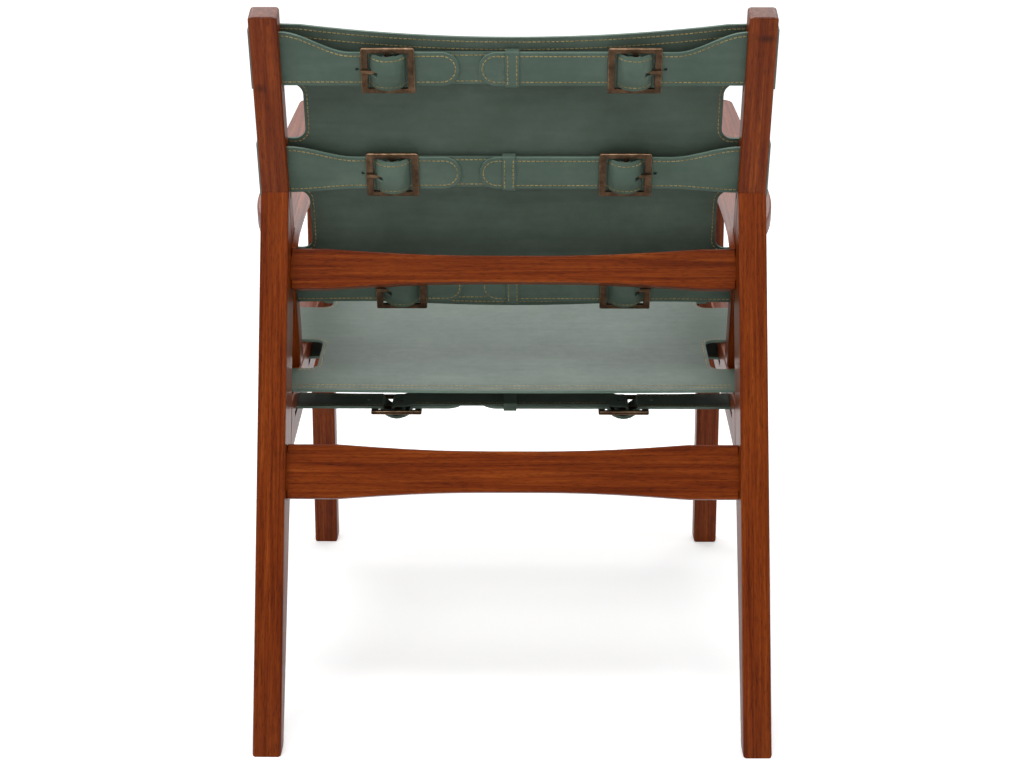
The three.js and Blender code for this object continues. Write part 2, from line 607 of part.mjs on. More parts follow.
// Buckle frame with its centre bar, lying in x and z round the bar.
function buckleGeometry() {
  const windowHalf = STRAP_WIDTH / 2 + WINDOW_SPARE;
  const x = BUCKLE_LENGTH / 2;
  const y = windowHalf + BUCKLE_SIDE;
  const r = BUCKLE_CORNER;
  const shape = new THREE.Shape();
  shape.absarc(x - r, y - r, r, 0, Math.PI / 2);
  shape.absarc(-x + r, y - r, r, Math.PI / 2, Math.PI);
  shape.absarc(-x + r, -y + r, r, Math.PI, 1.5 * Math.PI);
  shape.absarc(x - r, -y + r, r, 1.5 * Math.PI, 2 * Math.PI);
  const plate = roundedExtrude(shape, BUCKLE_THICKNESS, BUCKLE_EDGE, 1, 3);
  let frame = solidOf(plate.translate(0, 0, -BUCKLE_THICKNESS / 2));
  for (const sign of [1, -1]) {
    const ends = [sign * CENTRE_BAR / 2, sign * HUMP_REACH].sort((p, q) => p - q);
    frame = frame.subtract(blockSolid(
      ends, [-windowHalf, windowHalf], [-BUCKLE_THICKNESS, BUCKLE_THICKNESS], new THREE.Matrix4()));
  }
  return geometryOf(frame).rotateX(Math.PI / 2);
}

// Prong: an eye round the centre bar and a tapered tongue that rests on the end bar at +x.
function prongGeometry() {
  const rest = BUCKLE_THICKNESS / 2 + FIT;
  const tip = BUCKLE_LENGTH / 2 + PRONG_OVERHANG;
  const shape = new THREE.Shape();
  const [under, over] = TONGUE_ANGLES;
  shape.absarc(0, 0, EYE_OUTER, rad(over), rad(360 + under), false);
  shape.lineTo(HUMP_REACH - PRONG_OVERHANG, rest);
  shape.lineTo(tip, rest);
  shape.lineTo(tip, rest + PRONG_TIP);
  shape.lineTo(HUMP_REACH, rest + PRONG_ROOT);
  shape.holes.push(new THREE.Path().absarc(0, 0, EYE_INNER, 0, 2 * Math.PI, true));
  return new THREE.ExtrudeGeometry(shape, { depth: PRONG_WIDTH, bevelEnabled: false, curveSegments: 8 })
    .translate(0, 0, -PRONG_WIDTH / 2);
}

// Keeper: a flat loop of leather round the long billet and the centre strap.
function keeperGeometry() {
  const halfZ = STRAP_WIDTH / 2 + KEEPER_SPARE;
  const low = STRAP_LEVEL - STRAP_HIDE / 2 - KEEPER_SPARE;
  const high = HIDE / 2 + KEEPER_SPARE;
  const box = (grow) => [
    new THREE.Vector2(low - grow, -halfZ - grow), new THREE.Vector2(high + grow, -halfZ - grow),
    new THREE.Vector2(high + grow, halfZ + grow), new THREE.Vector2(low - grow, halfZ + grow),
  ];
  const shape = new THREE.Shape(box(KEEPER_HIDE));
  shape.holes.push(new THREE.Path(box(0)));
  const geometry = new THREE.ExtrudeGeometry(shape, { depth: KEEPER_LENGTH, bevelEnabled: false });
  return geometry.translate(0, 0, -KEEPER_LENGTH / 2).applyMatrix4(PROFILE_BASIS);
}

// Assembly
const chair = new THREE.Group();

function addPiece(parent, name, geometry, finish) {
  const mesh = new THREE.Mesh(geometry, new THREE.MeshStandardMaterial(finish));
  mesh.name = name;
  parent.add(mesh);
  return mesh;
}

for (const [name, solid] of Object.entries(sideMembers())) {
  const geometry = geometryOf(solid);
  addPiece(chair, `${name}_left`, geometry, WOOD);
  addPiece(chair, `${name}_right`, geometry, WOOD).scale.x = -1;
}
addPiece(chair, 'back_rail', crossRail(BACK_RAIL, BACK_RAIL_FRAME), WOOD);
addPiece(chair, 'lower_stretcher', crossRail(STRETCHER, STRETCHER_FRAME), WOOD);
addPiece(chair, 'front_rail', crossRail(FRONT_RAIL, FRONT_RAIL_FRAME), WOOD);

// A sling with its three straps, each with two buckles, two prongs and a keeper.
function addSling(name, frame, tabs, strapNames, slotDepth, sag, dip) {
  const group = new THREE.Group();
  group.applyMatrix4(frame);
  chair.add(group);
  addPiece(group, `${name}_sling`, slingGeometry(tabs, slotDepth, sag, dip), LEATHER);
  tabs.forEach((tab, k) => {
    const { strap, keeper } = tab;
    const label = `${name}_${strapNames[k]}`;
    addPiece(group, `${label}_strap`, centreStrapGeometry(tab), LEATHER).position.set(0, slotDepth, strap);
    addPiece(group, `${label}_keeper`, keeperGeometry(), LEATHER).position.set(keeper, slotDepth, strap);
    for (const [side, sign] of [['left', 1], ['right', -1]]) {
      const bar = [sign * tab[side], slotDepth + BAR_LEVEL, strap];
      addPiece(group, `${label}_buckle_${side}`, buckleGeometry(), BRONZE).position.set(...bar);
      const prong = addPiece(group, `${label}_prong_${side}`, prongGeometry(), BRONZE);
      prong.position.set(...bar);
      prong.scale.x = sign;
    }
  });
}

addSling('back', BACK_SLING_FRAME, BACK_TABS, ['low', 'middle', 'top'],
  BACK_SLOT_DEPTH, BACK_SAG, BACK_DIP);
addSling('seat', SEAT_SLING_FRAME, SEAT_TABS, ['front', 'middle', 'rear'],
  SEAT_SLOT_DEPTH, SEAT_SAG, SEAT_DIP);

// The origin is on the floor, under the middle of the whole chair.
chair.updateMatrixWorld(true);
const box = new THREE.Box3().setFromObject(chair, true);
chair.position.set(-(box.min.x + box.max.x) / 2, -(box.min.y + box.max.y) / 2, -box.min.z);

export default chair;
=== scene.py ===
# %% [markdown]
# # A lounge chair with buckled leather slings
# A wooden frame carries two sheets of leather. Each sheet goes round the side members, through slots
# in them, and is drawn tight behind by buckled straps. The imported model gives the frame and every
# moving body; this script gives the wood its grain, and makes the leather, the thread and the metal.

# %% Load the frame
import json
import math
import bmesh
import bpy
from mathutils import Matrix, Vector

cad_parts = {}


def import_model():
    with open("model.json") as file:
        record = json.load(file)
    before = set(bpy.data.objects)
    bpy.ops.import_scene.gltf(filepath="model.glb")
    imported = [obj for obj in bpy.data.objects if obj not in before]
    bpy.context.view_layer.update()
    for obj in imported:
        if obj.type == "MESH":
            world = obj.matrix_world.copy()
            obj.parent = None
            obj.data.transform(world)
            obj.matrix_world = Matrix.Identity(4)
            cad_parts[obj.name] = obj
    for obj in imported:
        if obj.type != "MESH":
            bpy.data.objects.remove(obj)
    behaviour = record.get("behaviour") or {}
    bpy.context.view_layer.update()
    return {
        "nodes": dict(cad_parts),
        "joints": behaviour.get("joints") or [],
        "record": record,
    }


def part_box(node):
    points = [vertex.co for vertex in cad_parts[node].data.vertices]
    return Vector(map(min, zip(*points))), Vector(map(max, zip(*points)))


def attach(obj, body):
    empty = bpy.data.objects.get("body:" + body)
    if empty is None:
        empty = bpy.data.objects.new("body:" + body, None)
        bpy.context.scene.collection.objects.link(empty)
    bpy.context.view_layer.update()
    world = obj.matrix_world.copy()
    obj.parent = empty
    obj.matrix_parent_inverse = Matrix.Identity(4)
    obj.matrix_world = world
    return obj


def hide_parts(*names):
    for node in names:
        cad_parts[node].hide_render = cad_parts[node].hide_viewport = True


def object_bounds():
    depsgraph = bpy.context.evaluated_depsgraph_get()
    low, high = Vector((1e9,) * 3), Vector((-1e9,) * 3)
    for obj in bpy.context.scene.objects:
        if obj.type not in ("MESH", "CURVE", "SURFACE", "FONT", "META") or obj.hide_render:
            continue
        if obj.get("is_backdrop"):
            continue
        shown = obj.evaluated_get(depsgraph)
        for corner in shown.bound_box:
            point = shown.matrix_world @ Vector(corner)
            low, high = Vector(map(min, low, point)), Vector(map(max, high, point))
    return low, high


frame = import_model()
MM = 0.001

# %% [markdown]
# ## The camera
# The chair is seen from behind and a little above. The four feet and the four corners of the back
# settle the lens and the place: about 2.1 m behind the rear feet and 1 m up, looking down by 15 degrees.

# %% Camera
PHOTO_WIDTH = 1024
FOCAL_PIXELS = 2107.6
EYE = Vector((-0.0151, 2.5137, 0.9973))
YAW, PITCH = math.radians(0.405), math.radians(15.082)

camera = bpy.data.objects.new("camera", bpy.data.cameras.new("camera"))
bpy.context.scene.collection.objects.link(camera)
camera.data.sensor_width = 36
camera.data.lens = FOCAL_PIXELS * camera.data.sensor_width / PHOTO_WIDTH
ahead = Vector((math.sin(YAW) * math.cos(PITCH), -math.cos(YAW) * math.cos(PITCH), -math.sin(PITCH)))
camera.location = EYE
camera.rotation_mode = "QUATERNION"
camera.rotation_quaternion = ahead.to_track_quat("-Z", "Y")
bpy.context.scene.camera = camera
bpy.context.scene.view_settings.view_transform = "Standard"
print("lens:", round(camera.data.lens, 1), "mm")

# %% [markdown]
# ## Materials
# Every finish is a small graph of nodes. One function turns a written colour to linear light, and one
# adds a node with its settings and links, so that each graph below reads as a list of steps.

# %% Colour and node helpers
def linear(hex_colour):
    parts = [int(hex_colour[i:i + 2], 16) / 255 for i in (1, 3, 5)]
    return [c / 12.92 if c <= 0.04045 else ((c + 0.055) / 1.055) ** 2.4 for c in parts] + [1]


def node(tree, kind, settings=None, stops=(), **links):
    made = tree.nodes.new(kind)
    for name, value in (settings or {}).items():
        setattr(made, name, value)
    for k, (place, colour) in enumerate(stops):
        band = made.color_ramp.elements
        element = band[k] if k < len(band) else band.new(place)
        element.position = place
        element.color = linear(colour) if isinstance(colour, str) else (colour, colour, colour, 1)
    for name, value in links.items():
        key = int(name[1:]) if name[1:].isdigit() else name.replace("_", " ")
        socket = made.inputs[key]
        if isinstance(value, bpy.types.NodeSocket):
            tree.links.new(value, socket)
        else:
            socket.default_value = value
    return made


def new_material(name):
    material = bpy.data.materials.new(name)
    material.use_nodes = True
    tree = material.node_tree
    return material, tree, tree.nodes["Principled BSDF"]


def per_mm(size):
    return 1 / (size * MM)


def steps(start, end, count):
    return [start + (end - start) * i / count for i in range(count + 1)]


# %% [markdown]
# ### Lacquered hardwood
# A straight-grained red-brown hardwood, planed, stained and sprayed with satin lacquer. The eye sees
# long streaks along each board, short dark pores, and a soft clear gloss. The grain has to follow the
# length of each member, so the boards carry their own coordinates, and the streaks are noise that is
# stretched along the first of them: about 200 mm long and 5 mm wide. Real pores are finer than a pixel
# here, so they are drawn 10 mm by 0.8 mm. A sawn end drinks more stain and less lacquer, so it is darker
# and duller than the sides. The posts have a small knot each, where a branch once left the trunk.

# %% Wood
# Lengths along the grain and widths across it, in millimetres.
STREAK = (200, 5)
PORE = (10, 0.8)
CLOUD = (160, 45)
# Each knot: its middle in metres, its half sizes in millimetres, and how much colour its core keeps.
KNOTS = (((0.2764, 0.2059, 0.7092), (8, 8, 7), 0.5),
         ((-0.2739, 0.2258, 0.7657), (13, 13, 6), 0.4))


def lacquered_hardwood(name, stain, coat):
    material, tree, shader = new_material(name)
    grain = node(tree, "ShaderNodeAttribute", {"attribute_name": "grain"}).outputs["Vector"]
    along_streak, along_pore, along_cloud = [
        node(tree, "ShaderNodeVectorMath", {"operation": "MULTIPLY"}, i0=grain,
             i1=(per_mm(length), per_mm(width), per_mm(width))).outputs[0]
        for length, width in (STREAK, PORE, CLOUD)]
    streak = node(tree, "ShaderNodeTexNoise", Vector=along_streak, Scale=1, Detail=5, Roughness=0.6,
                  Distortion=0.6).outputs["Fac"]
    pore = node(tree, "ShaderNodeTexNoise", Vector=along_pore, Scale=1, Detail=2,
                Roughness=0.5).outputs["Fac"]
    cloud = node(tree, "ShaderNodeTexNoise", Vector=along_cloud, Scale=1, Detail=2).outputs["Fac"]
    colour = node(tree, "ShaderNodeValToRGB", Fac=streak, stops=[
        (0.28, "#561D03"), (0.45, "#762F08"), (0.6, "#893D0F"), (0.8, "#A8571F")]).outputs["Color"]
    shade = node(tree, "ShaderNodeValToRGB", Fac=cloud, stops=[
        (0.3, 0.82 * stain), (0.7, stain)]).outputs["Color"]
    tone = node(tree, "ShaderNodeMix", {"data_type": "RGBA", "blend_type": "MULTIPLY"},
                i0=1.0, i6=colour, i7=shade).outputs[2]
    dots = node(tree, "ShaderNodeValToRGB", Fac=pore, stops=[(0.3, 0.42), (0.5, 1.0)]).outputs["Color"]
    final = node(tree, "ShaderNodeMix", {"data_type": "RGBA", "blend_type": "MULTIPLY"},
                 i0=0.8, i6=tone, i7=dots).outputs[2]
    place = node(tree, "ShaderNodeTexCoord").outputs["Object"]
    for knot, size, dark in KNOTS:
        offset = node(tree, "ShaderNodeVectorMath", {"operation": "SUBTRACT"}, i0=place,
                      i1=knot).outputs[0]
        sized = node(tree, "ShaderNodeVectorMath", {"operation": "MULTIPLY"}, i0=offset,
                     i1=[per_mm(radius) for radius in size]).outputs[0]
        away = node(tree, "ShaderNodeVectorMath", {"operation": "LENGTH"}, i0=sized).outputs["Value"]
        core = node(tree, "ShaderNodeValToRGB", Fac=away, stops=[
            (0.2, dark), (1.0, 1.0)]).outputs["Color"]
        final = node(tree, "ShaderNodeMix", {"data_type": "RGBA", "blend_type": "MULTIPLY"},
                     i0=1.0, i6=final, i7=core).outputs[2]
    tree.links.new(final, shader.inputs["Base Color"])
    rough = node(tree, "ShaderNodeMapRange", Value=streak, i3=0.4, i4=0.3).outputs[0]
    tree.links.new(rough, shader.inputs["Roughness"])
    bump = node(tree, "ShaderNodeBump", Strength=0.12, Distance=0.15 * MM, Height=dots).outputs[0]
    tree.links.new(bump, shader.inputs["Normal"])
    shader.inputs["IOR"].default_value = 1.5
    shader.inputs["Specular IOR Level"].default_value = 0.1
    shader.inputs["Coat Weight"].default_value = coat
    shader.inputs["Coat Roughness"].default_value = 0.14
    return material


wood = lacquered_hardwood("lacquered_hardwood", 1.0, 0.15)
end_grain = lacquered_hardwood("lacquered_end_grain", 0.72, 0.08)
print("made", wood.name, end_grain.name)

# %% [markdown]
# ### Full-grain hide and its flesh side
# The slings are drum-dyed cowhide, about 3 mm thick. The outer side is the smooth grain with a fine
# pebble and a low sheen; the back shows the matt, fibrous flesh side. The cut edge is given a paler
# green, a painted highlight where its rounded edge catches the light, which draws a light line round
# every strap. Pebbles on smooth hide are about 1 mm across and fibres finer still, which is less than
# a pixel here, so they are drawn at 2.4 mm and 1.6 mm.

# %% Leather
# Pattern sizes in millimetres. A crease is long across the sling and narrow along it.
PEBBLE, FIBRE = 2.4, 1.6
HIDE_CLOUD, FLECK = 90, 9
CREASE = (70, 8, 8)


def hide(name, dark, middle, light, pebble, bump_strength, rough_low, rough_high, sheen):
    material, tree, shader = new_material(name)
    place = node(tree, "ShaderNodeTexCoord").outputs["Object"]
    cloud = node(tree, "ShaderNodeTexNoise", Vector=place, Scale=per_mm(HIDE_CLOUD), Detail=4,
                 Roughness=0.55).outputs["Fac"]
    fleck = node(tree, "ShaderNodeTexNoise", Vector=place, Scale=per_mm(FLECK), Detail=3,
                 Roughness=0.6).outputs["Fac"]
    drawn = node(tree, "ShaderNodeVectorMath", {"operation": "MULTIPLY"}, i0=place,
                 i1=[per_mm(size) for size in CREASE]).outputs[0]
    crease = node(tree, "ShaderNodeTexNoise", Vector=drawn, Scale=1, Detail=2).outputs["Fac"]
    mottle = node(tree, "ShaderNodeMix", {"data_type": "FLOAT"}, i0=0.5, i2=fleck, i3=crease).outputs[0]
    blend = node(tree, "ShaderNodeMix", {"data_type": "FLOAT"}, i0=0.38, i2=cloud, i3=mottle).outputs[0]
    colour = node(tree, "ShaderNodeValToRGB", Fac=blend, stops=[
        (0.34, dark), (0.5, middle), (0.66, light)]).outputs["Color"]
    tree.links.new(colour, shader.inputs["Base Color"])
    rough = node(tree, "ShaderNodeMapRange", Value=fleck, i1=0.3, i2=0.7, i3=rough_low,
                 i4=rough_high).outputs[0]
    tree.links.new(rough, shader.inputs["Roughness"])
    cells = node(tree, "ShaderNodeTexVoronoi", {"feature": "SMOOTH_F1"}, Vector=place,
                 Scale=per_mm(pebble), Smoothness=0.6).outputs["Distance"]
    bump = node(tree, "ShaderNodeBump", {"invert": True}, Strength=bump_strength, Distance=0.3 * MM,
                Height=cells).outputs[0]
    tree.links.new(bump, shader.inputs["Normal"])
    shader.inputs["IOR"].default_value = 1.5
    shader.inputs["Specular IOR Level"].default_value = 0.3
    shader.inputs["Sheen Weight"].default_value = sheen
    shader.inputs["Sheen Roughness"].default_value = 0.5
    return material


hide_grain = hide("full_grain_hide", "#43574A", "#4D6054", "#586B5E", PEBBLE, 0.22, 0.42, 0.54, 0.06)
hide_flesh = hide("flesh_side_of_hide", "#404E43", "#4A594E", "#546458", FIBRE, 0.3, 0.62, 0.76, 0.1)
# The cut edge's paler green is a painted highlight, where the rounded edge catches the light.
hide_edge_painted_highlight = hide("hide_cut_edge_with_painted_highlight", "#5A7064", "#687E72", "#768B7D", FIBRE, 0.3, 0.6, 0.75, 0.0)
print("made", hide_grain.name, hide_flesh.name, hide_edge_painted_highlight.name)

# %% [markdown]
# ### Waxed thread and antique bronze
# The thread is tan waxed polyester, laid in short stitches. The buckles are cast zinc with an antique
# bronze finish: dark brown on the flats and in the hollows, and light on the slanted edge faces, partly
# rubbed wear and partly painted highlight; the prongs are worn to something between, being handled most.

# %% Thread and metal
# Patch sizes in millimetres: the thread's tone drifts along a row, and the metal's patina is blotchy.
THREAD_DRIFT, PATINA = 14, 11


def waxed_thread():
    material, tree, shader = new_material("waxed_thread")
    place = node(tree, "ShaderNodeTexCoord").outputs["Object"]
    drift = node(tree, "ShaderNodeTexNoise", Vector=place, Scale=per_mm(THREAD_DRIFT),
                 Detail=2).outputs["Fac"]
    colour = node(tree, "ShaderNodeValToRGB", Fac=drift, stops=[
        (0.35, "#7C6C3E"), (0.65, "#A5925A")]).outputs["Color"]
    tree.links.new(colour, shader.inputs["Base Color"])
    shader.inputs["Roughness"].default_value = 0.6
    return material


def cast_bronze(name, dark, middle, light):
    material, tree, shader = new_material(name)
    place = node(tree, "ShaderNodeTexCoord").outputs["Object"]
    patina = node(tree, "ShaderNodeTexNoise", Vector=place, Scale=per_mm(PATINA), Detail=3,
                  Roughness=0.65).outputs["Fac"]
    colour = node(tree, "ShaderNodeValToRGB", Fac=patina, stops=[
        (0.3, dark), (0.52, middle), (0.72, light)]).outputs["Color"]
    tree.links.new(colour, shader.inputs["Base Color"])
    rough = node(tree, "ShaderNodeMapRange", Value=patina, i1=0.3, i2=0.7, i3=0.5, i4=0.32).outputs[0]
    tree.links.new(rough, shader.inputs["Roughness"])
    bump = node(tree, "ShaderNodeBump", Strength=0.15, Distance=0.2 * MM, Height=patina).outputs[0]
    tree.links.new(bump, shader.inputs["Normal"])
    shader.inputs["Metallic"].default_value = 0.85
    return material


thread = waxed_thread()
bronze = cast_bronze("antique_bronze", "#3B2C1F", "#55402E", "#6B523D")
# The light bronze for slanted edge faces: partly rubbed wear, partly a painted highlight.
rubbed_and_highlit = cast_bronze("bronze_with_wear_and_painted_highlight", "#6B543E", "#8A6F55", "#A88B70")
worn = cast_bronze("worn_bronze", "#4A3A2A", "#634D38", "#7B6249")
print("made", thread.name, bronze.name, rubbed_and_highlit.name, worn.name)

# %% [markdown]
# ## The wooden frame
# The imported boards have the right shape, with rounded long edges. A copy of each board is dressed and
# stands in for it. Faces that lie in one plane are joined, so that a bevel can soften the corners.

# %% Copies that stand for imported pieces
WELD, FLAT_ANGLE = 0.001, 0.4
piece_body = {n: body for body, names in frame["record"]["behaviour"]["bodies"].items() for n in names}


def copy_of(name):
    source = frame["nodes"][name]
    mesh = bpy.data.meshes.new(name + "_dressed")
    shape = bmesh.new()
    shape.from_mesh(source.data)
    bmesh.ops.remove_doubles(shape, verts=shape.verts, dist=WELD * MM)
    bmesh.ops.dissolve_limit(shape, angle_limit=math.radians(FLAT_ANGLE), verts=shape.verts,
                             edges=shape.edges)
    for face in shape.faces:
        face.smooth = True
    shape.to_mesh(mesh)
    shape.free()
    piece = bpy.data.objects.new(name + "_dressed", mesh)
    bpy.context.scene.collection.objects.link(piece)
    return piece


def soften(piece, width, segments, angle):
    if width > 0:
        bevel = piece.modifiers.new("softened", "BEVEL")
        bevel.width = width * MM
        bevel.segments = segments
        bevel.limit_method = "ANGLE"
        bevel.angle_limit = math.radians(angle)
    else:
        piece.data.set_sharp_from_angle(angle=math.radians(angle))
    normals = piece.modifiers.new("even_normals", "WEIGHTED_NORMAL")
    normals.keep_sharp = True


def stand_for(piece, name):
    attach(piece, piece_body[name])
    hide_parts(name)


# %% [markdown]
# ### Arms and post tops
# Two kinds of board have hand-worked ends. The arm's inner edge is planed back underneath, so that
# from behind it looks thin, and its rear end falls in a curve onto the frame. The top of each post is
# eased all round with a file. Both are made by cutting the copy into thin slices and shifting the
# points of each.

# %% Arms, in millimetres and degrees
ARM_SLOPE, ARM_THICKNESS, ARM_UNDERCUT, ARM_INNER_PART = 9.7, 22, 9, 249
ARM_FALL, ARM_FALL_FROM, ARM_FALL_TO, ARM_SLICES = 9.5, 112, 148.5, 5
ARM_FALL_WAY = Vector((0, 0.36, -0.93))
JOINT_MARGIN = 12
# The inner and outer faces of the side members, from the middle of the chair.
INNER, OUTER = 253.5, 285


def slice_at(shape, place, normal):
    everything = shape.verts[:] + shape.edges[:] + shape.faces[:]
    bmesh.ops.bisect_plane(shape, geom=everything, plane_co=place, plane_no=normal)


def write_back(shape, piece):
    for face in shape.faces:
        face.smooth = True
    shape.to_mesh(piece.data)
    shape.free()


def shape_arm(piece):
    shape = bmesh.new()
    shape.from_mesh(piece.data)
    for place in steps(ARM_FALL_FROM, ARM_FALL_TO, ARM_SLICES)[:-1]:
        slice_at(shape, (0, place * MM, 0), (0, 1, 0))
    top = Vector((0, math.sin(math.radians(ARM_SLOPE)), math.cos(math.radians(ARM_SLOPE))))
    highest = max(v.co.dot(top) for v in shape.verts)
    for vertex in shape.verts:
        depth = (highest - vertex.co.dot(top)) / MM
        side = math.copysign(1, vertex.co.x)
        x, y = abs(vertex.co.x) / MM, vertex.co.y / MM
        if x < ARM_INNER_PART and depth > 1:
            limit = INNER - 1 if y > ARM_FALL_FROM - JOINT_MARGIN else OUTER
            if x < INNER - 0.5 or y < ARM_FALL_FROM - JOINT_MARGIN:
                vertex.co.x = side * min(x + ARM_UNDERCUT * depth / ARM_THICKNESS, limit) * MM
        if y > ARM_FALL_FROM and depth < ARM_FALL:
            fall = ARM_FALL * ((y - ARM_FALL_FROM) / (ARM_FALL_TO - ARM_FALL_FROM)) ** 2
            vertex.co += ARM_FALL_WAY * max(min(fall, ARM_FALL) - depth, 0) * MM
    write_back(shape, piece)


# %% Post tops
POST_TOP_ROUND, POST_SLICES, SLICE_WELD = 2.9, (0.08, 0.25, 0.55, 1), 0.02
ON_TOP = 1e-5


def round_top(piece, along, radius):
    shape = bmesh.new()
    shape.from_mesh(piece.data)
    top = max(v.co.dot(along) for v in shape.verts)
    for part in POST_SLICES:
        slice_at(shape, along * (top - part * radius * MM), along)
    bmesh.ops.remove_doubles(shape, verts=shape.verts, dist=SLICE_WELD * MM)
    ends = [v for v in shape.verts if top - v.co.dot(along) < radius * MM]
    tops = [v.co for v in ends if top - v.co.dot(along) < ON_TOP]
    middle = sum(tops, Vector()) / len(tops)
    half = max((p - middle).length for p in tops) / math.sqrt(2)
    for vertex in ends:
        down = (top - vertex.co.dot(along)) / MM
        inset = (radius - math.sqrt(radius ** 2 - (radius - down) ** 2)) * MM
        across = vertex.co - middle - along * (vertex.co - middle).dot(along)
        vertex.co -= across * (inset / half)
    write_back(shape, piece)


# %% [markdown]
# ### Grain
# Wood is sawn along the trunk, so the grain runs along each board. Every board stores three coordinates
# per point, the first of them along its length. A shift per board keeps two boards from showing the same
# streaks.

# %% Dress the boards
LEAN = {"rear_leg": -21, "back_post": 19.4, "front_leg": 0, "arm": 99.7, "side_rail": 96.84}
CROSS_RAILS = ("back_rail", "lower_stretcher", "front_rail")
BOARD_SHIFT = Vector((0.37, 0.113, 0.071))
BOARD_EDGE, BOARD_ANGLE, END_FACING = 1.2, 50, 0.6


def add_grain(piece, along, shift):
    across = Vector((1, 0, 0)) if abs(along.x) < 0.5 else Vector((0, 0, 1))
    third = along.cross(across).normalized()
    across = third.cross(along)
    attribute = piece.data.attributes.new("grain", "FLOAT_VECTOR", "POINT")
    for vertex, item in zip(piece.data.vertices, attribute.data):
        p = vertex.co
        item.vector = Vector((p.dot(along), p.dot(across), p.dot(third))) + shift


boards = [n for n in frame["nodes"] if n.startswith(tuple(LEAN)) or n in CROSS_RAILS]
for count, name in enumerate(sorted(boards)):
    is_post = name.startswith("back_post")
    board = copy_of(name)
    lean = next((math.radians(a) for n, a in LEAN.items() if name.startswith(n)), None)
    along = Vector((1, 0, 0)) if lean is None else Vector((0, math.sin(lean), math.cos(lean)))
    if name.startswith("arm"):
        shape_arm(board)
    if is_post:
        round_top(board, along, POST_TOP_ROUND)
    add_grain(board, along, BOARD_SHIFT * count)
    board.data.materials.append(wood)
    if is_post:
        board.data.materials.append(end_grain)
        for face in board.data.polygons:
            face.material_index = 1 if face.normal.dot(along) > END_FACING else 0
    soften(board, 0 if is_post else BOARD_EDGE, 2, BOARD_ANGLE)
    stand_for(board, name)
print("boards:", len(boards))

# %% [markdown]
# ## The slings
# Each sling is one hide: a panel, and three tabs a side that go round the member, through its slot,
# and run on as billets to the buckles. It is made as a sheet of stations along that path and rows
# across it, in the sling's own frame, where x is across, b away from the sitter and c along the member.
# The joints of the prongs give that frame exactly, so the leather lands where the solids are.

# %% Sling sizes, in millimetres
FIT, ARRIS, HIDE = 0.3, 3, 3.2
STRAP_WIDTH, STRAP_HIDE, KEEPER_HIDE = 39, 2.6, 2
STRAP_TAPER, NOTCH_INSET, NOTCH_RADIUS = 76, 20, 13
TURN_RADIUS, BAR_LEVEL, STRAP_LEVEL = 3, 4.15, -3.2
HUMP_REACH, HUMP_FOOT, MIDDLE_RISE, EDGE_RISE = 20, 18.6, 16.5, 12.6
PRONG_SLOT, SLOT_NEAR, SLOT_FAR = 5.2, 10.2, 17.8
HOLE_PLACE, HOLE_RADIUS, HOLE_MARGIN = 33.7, 2, 2
SHORT_TIP, LONG_TIP = 59, -38
HALF = STRAP_WIDTH / 2

# slot: how far in the slot lies; sag, dip, droop: the panel's bow and its upper and lower edges' curves;
# hems: stitch rows from the free edges; tabs: lower edge, upper edge and strap's middle;
# drawn_in: the share of each edge's narrowing that is done where the tab leaves the slot.
SLINGS = {
    "back": {"slot": 16, "sag": 8, "dip": 12, "droop": 10, "hems": (5, 14),
             "rests": ["back_post_left", "back_post_right"],
             "tabs": {"low": (-155.5, -92, -134.5), "middle": (-15.5, 51.5, 16.5),
                      "top": (119.5, 190.5, 145.5)},
             "drawn_in": {"low": (0.5, 0), "middle": (0.6, 0.15), "top": (1, 0.05)}},
    "seat": {"slot": 28, "sag": 1.5, "dip": 0, "droop": 0, "hems": (7.5, 15),
             "rests": ["side_rail_left", "side_rail_right"],
             "tabs": {"front": (38, 108, 80), "middle": (211, 327, 269), "rear": (424, 490, 449)},
             "drawn_in": {"front": (0.5, 0.5), "middle": (0.5, 0.5), "rear": (0.5, 1)}},
}
prong_joint = {j["child"]: j for j in frame["joints"]}

for name, sling in SLINGS.items():
    first = next(iter(sling["tabs"]))
    joint = prong_joint[f"{name}_{first}_prong_left"]
    c = Vector(joint["axis"]).normalized()
    b = c.cross(Vector((1, 0, 0)))
    bar = Vector(joint["pos_m"]) / MM
    strap_middle = sling["tabs"][first][2]
    origin = bar - Vector((bar.x, 0, 0)) - b * (sling["slot"] + BAR_LEVEL) - c * strap_middle
    sling["axes"] = (origin, b, c)
    sling["bars"] = {tab: tuple(prong_joint[f"{name}_{tab}_prong_{side}"]["pos_m"][0] / MM
                                for side in ("left", "right")) for tab in sling["tabs"]}
    print(name, [round(v, 2) for v in origin], sling["bars"])


def world(sling, x, y, z):
    origin, b, c = sling["axes"]
    return (origin + Vector((x, 0, 0)) + b * y + c * z) * MM


# %% [markdown]
# ### The path of a tab
# A tab leaves the panel at the notch, turns round the member's outer edge, goes back in through the
# slot, narrows to the strap, domes over the buckle's centre bar and ends in a round tip. A round hole is
# punched outside the buckle, and a slot lets the prong through the dome. Each station holds where it is,
# how far the tab has narrowed, and the half width of the hole or slot there.

# %% Stations
NARROWEST_HOLE = 0.6
FLANK_START, CROWN_FROM, CROWN_TO = 18.3, 8, 2
CORNER_PARTS = (0.04, 0.12, 0.25, 0.45, 0.7, 1)
TIP_PARTS = (1, 0.9, 0.8, 0.65, 0.5, 0.38, 0.27, 0.17, 0.09, 0.035, 0.004)


def bow_of(sling, x):
    return -FIT - HIDE / 2 + sling["sag"] * max(0, 1 - (x / INNER) ** 2)


def hump(distance, across):
    if abs(distance) >= HUMP_FOOT:
        return 0
    part, edge = abs(distance) / HUMP_FOOT, min(abs(across) / HALF, 1) ** 2
    return MIDDLE_RISE * (1 - part ** 5) * (1 - edge) + EDGE_RISE * (1 - part ** 2) * edge


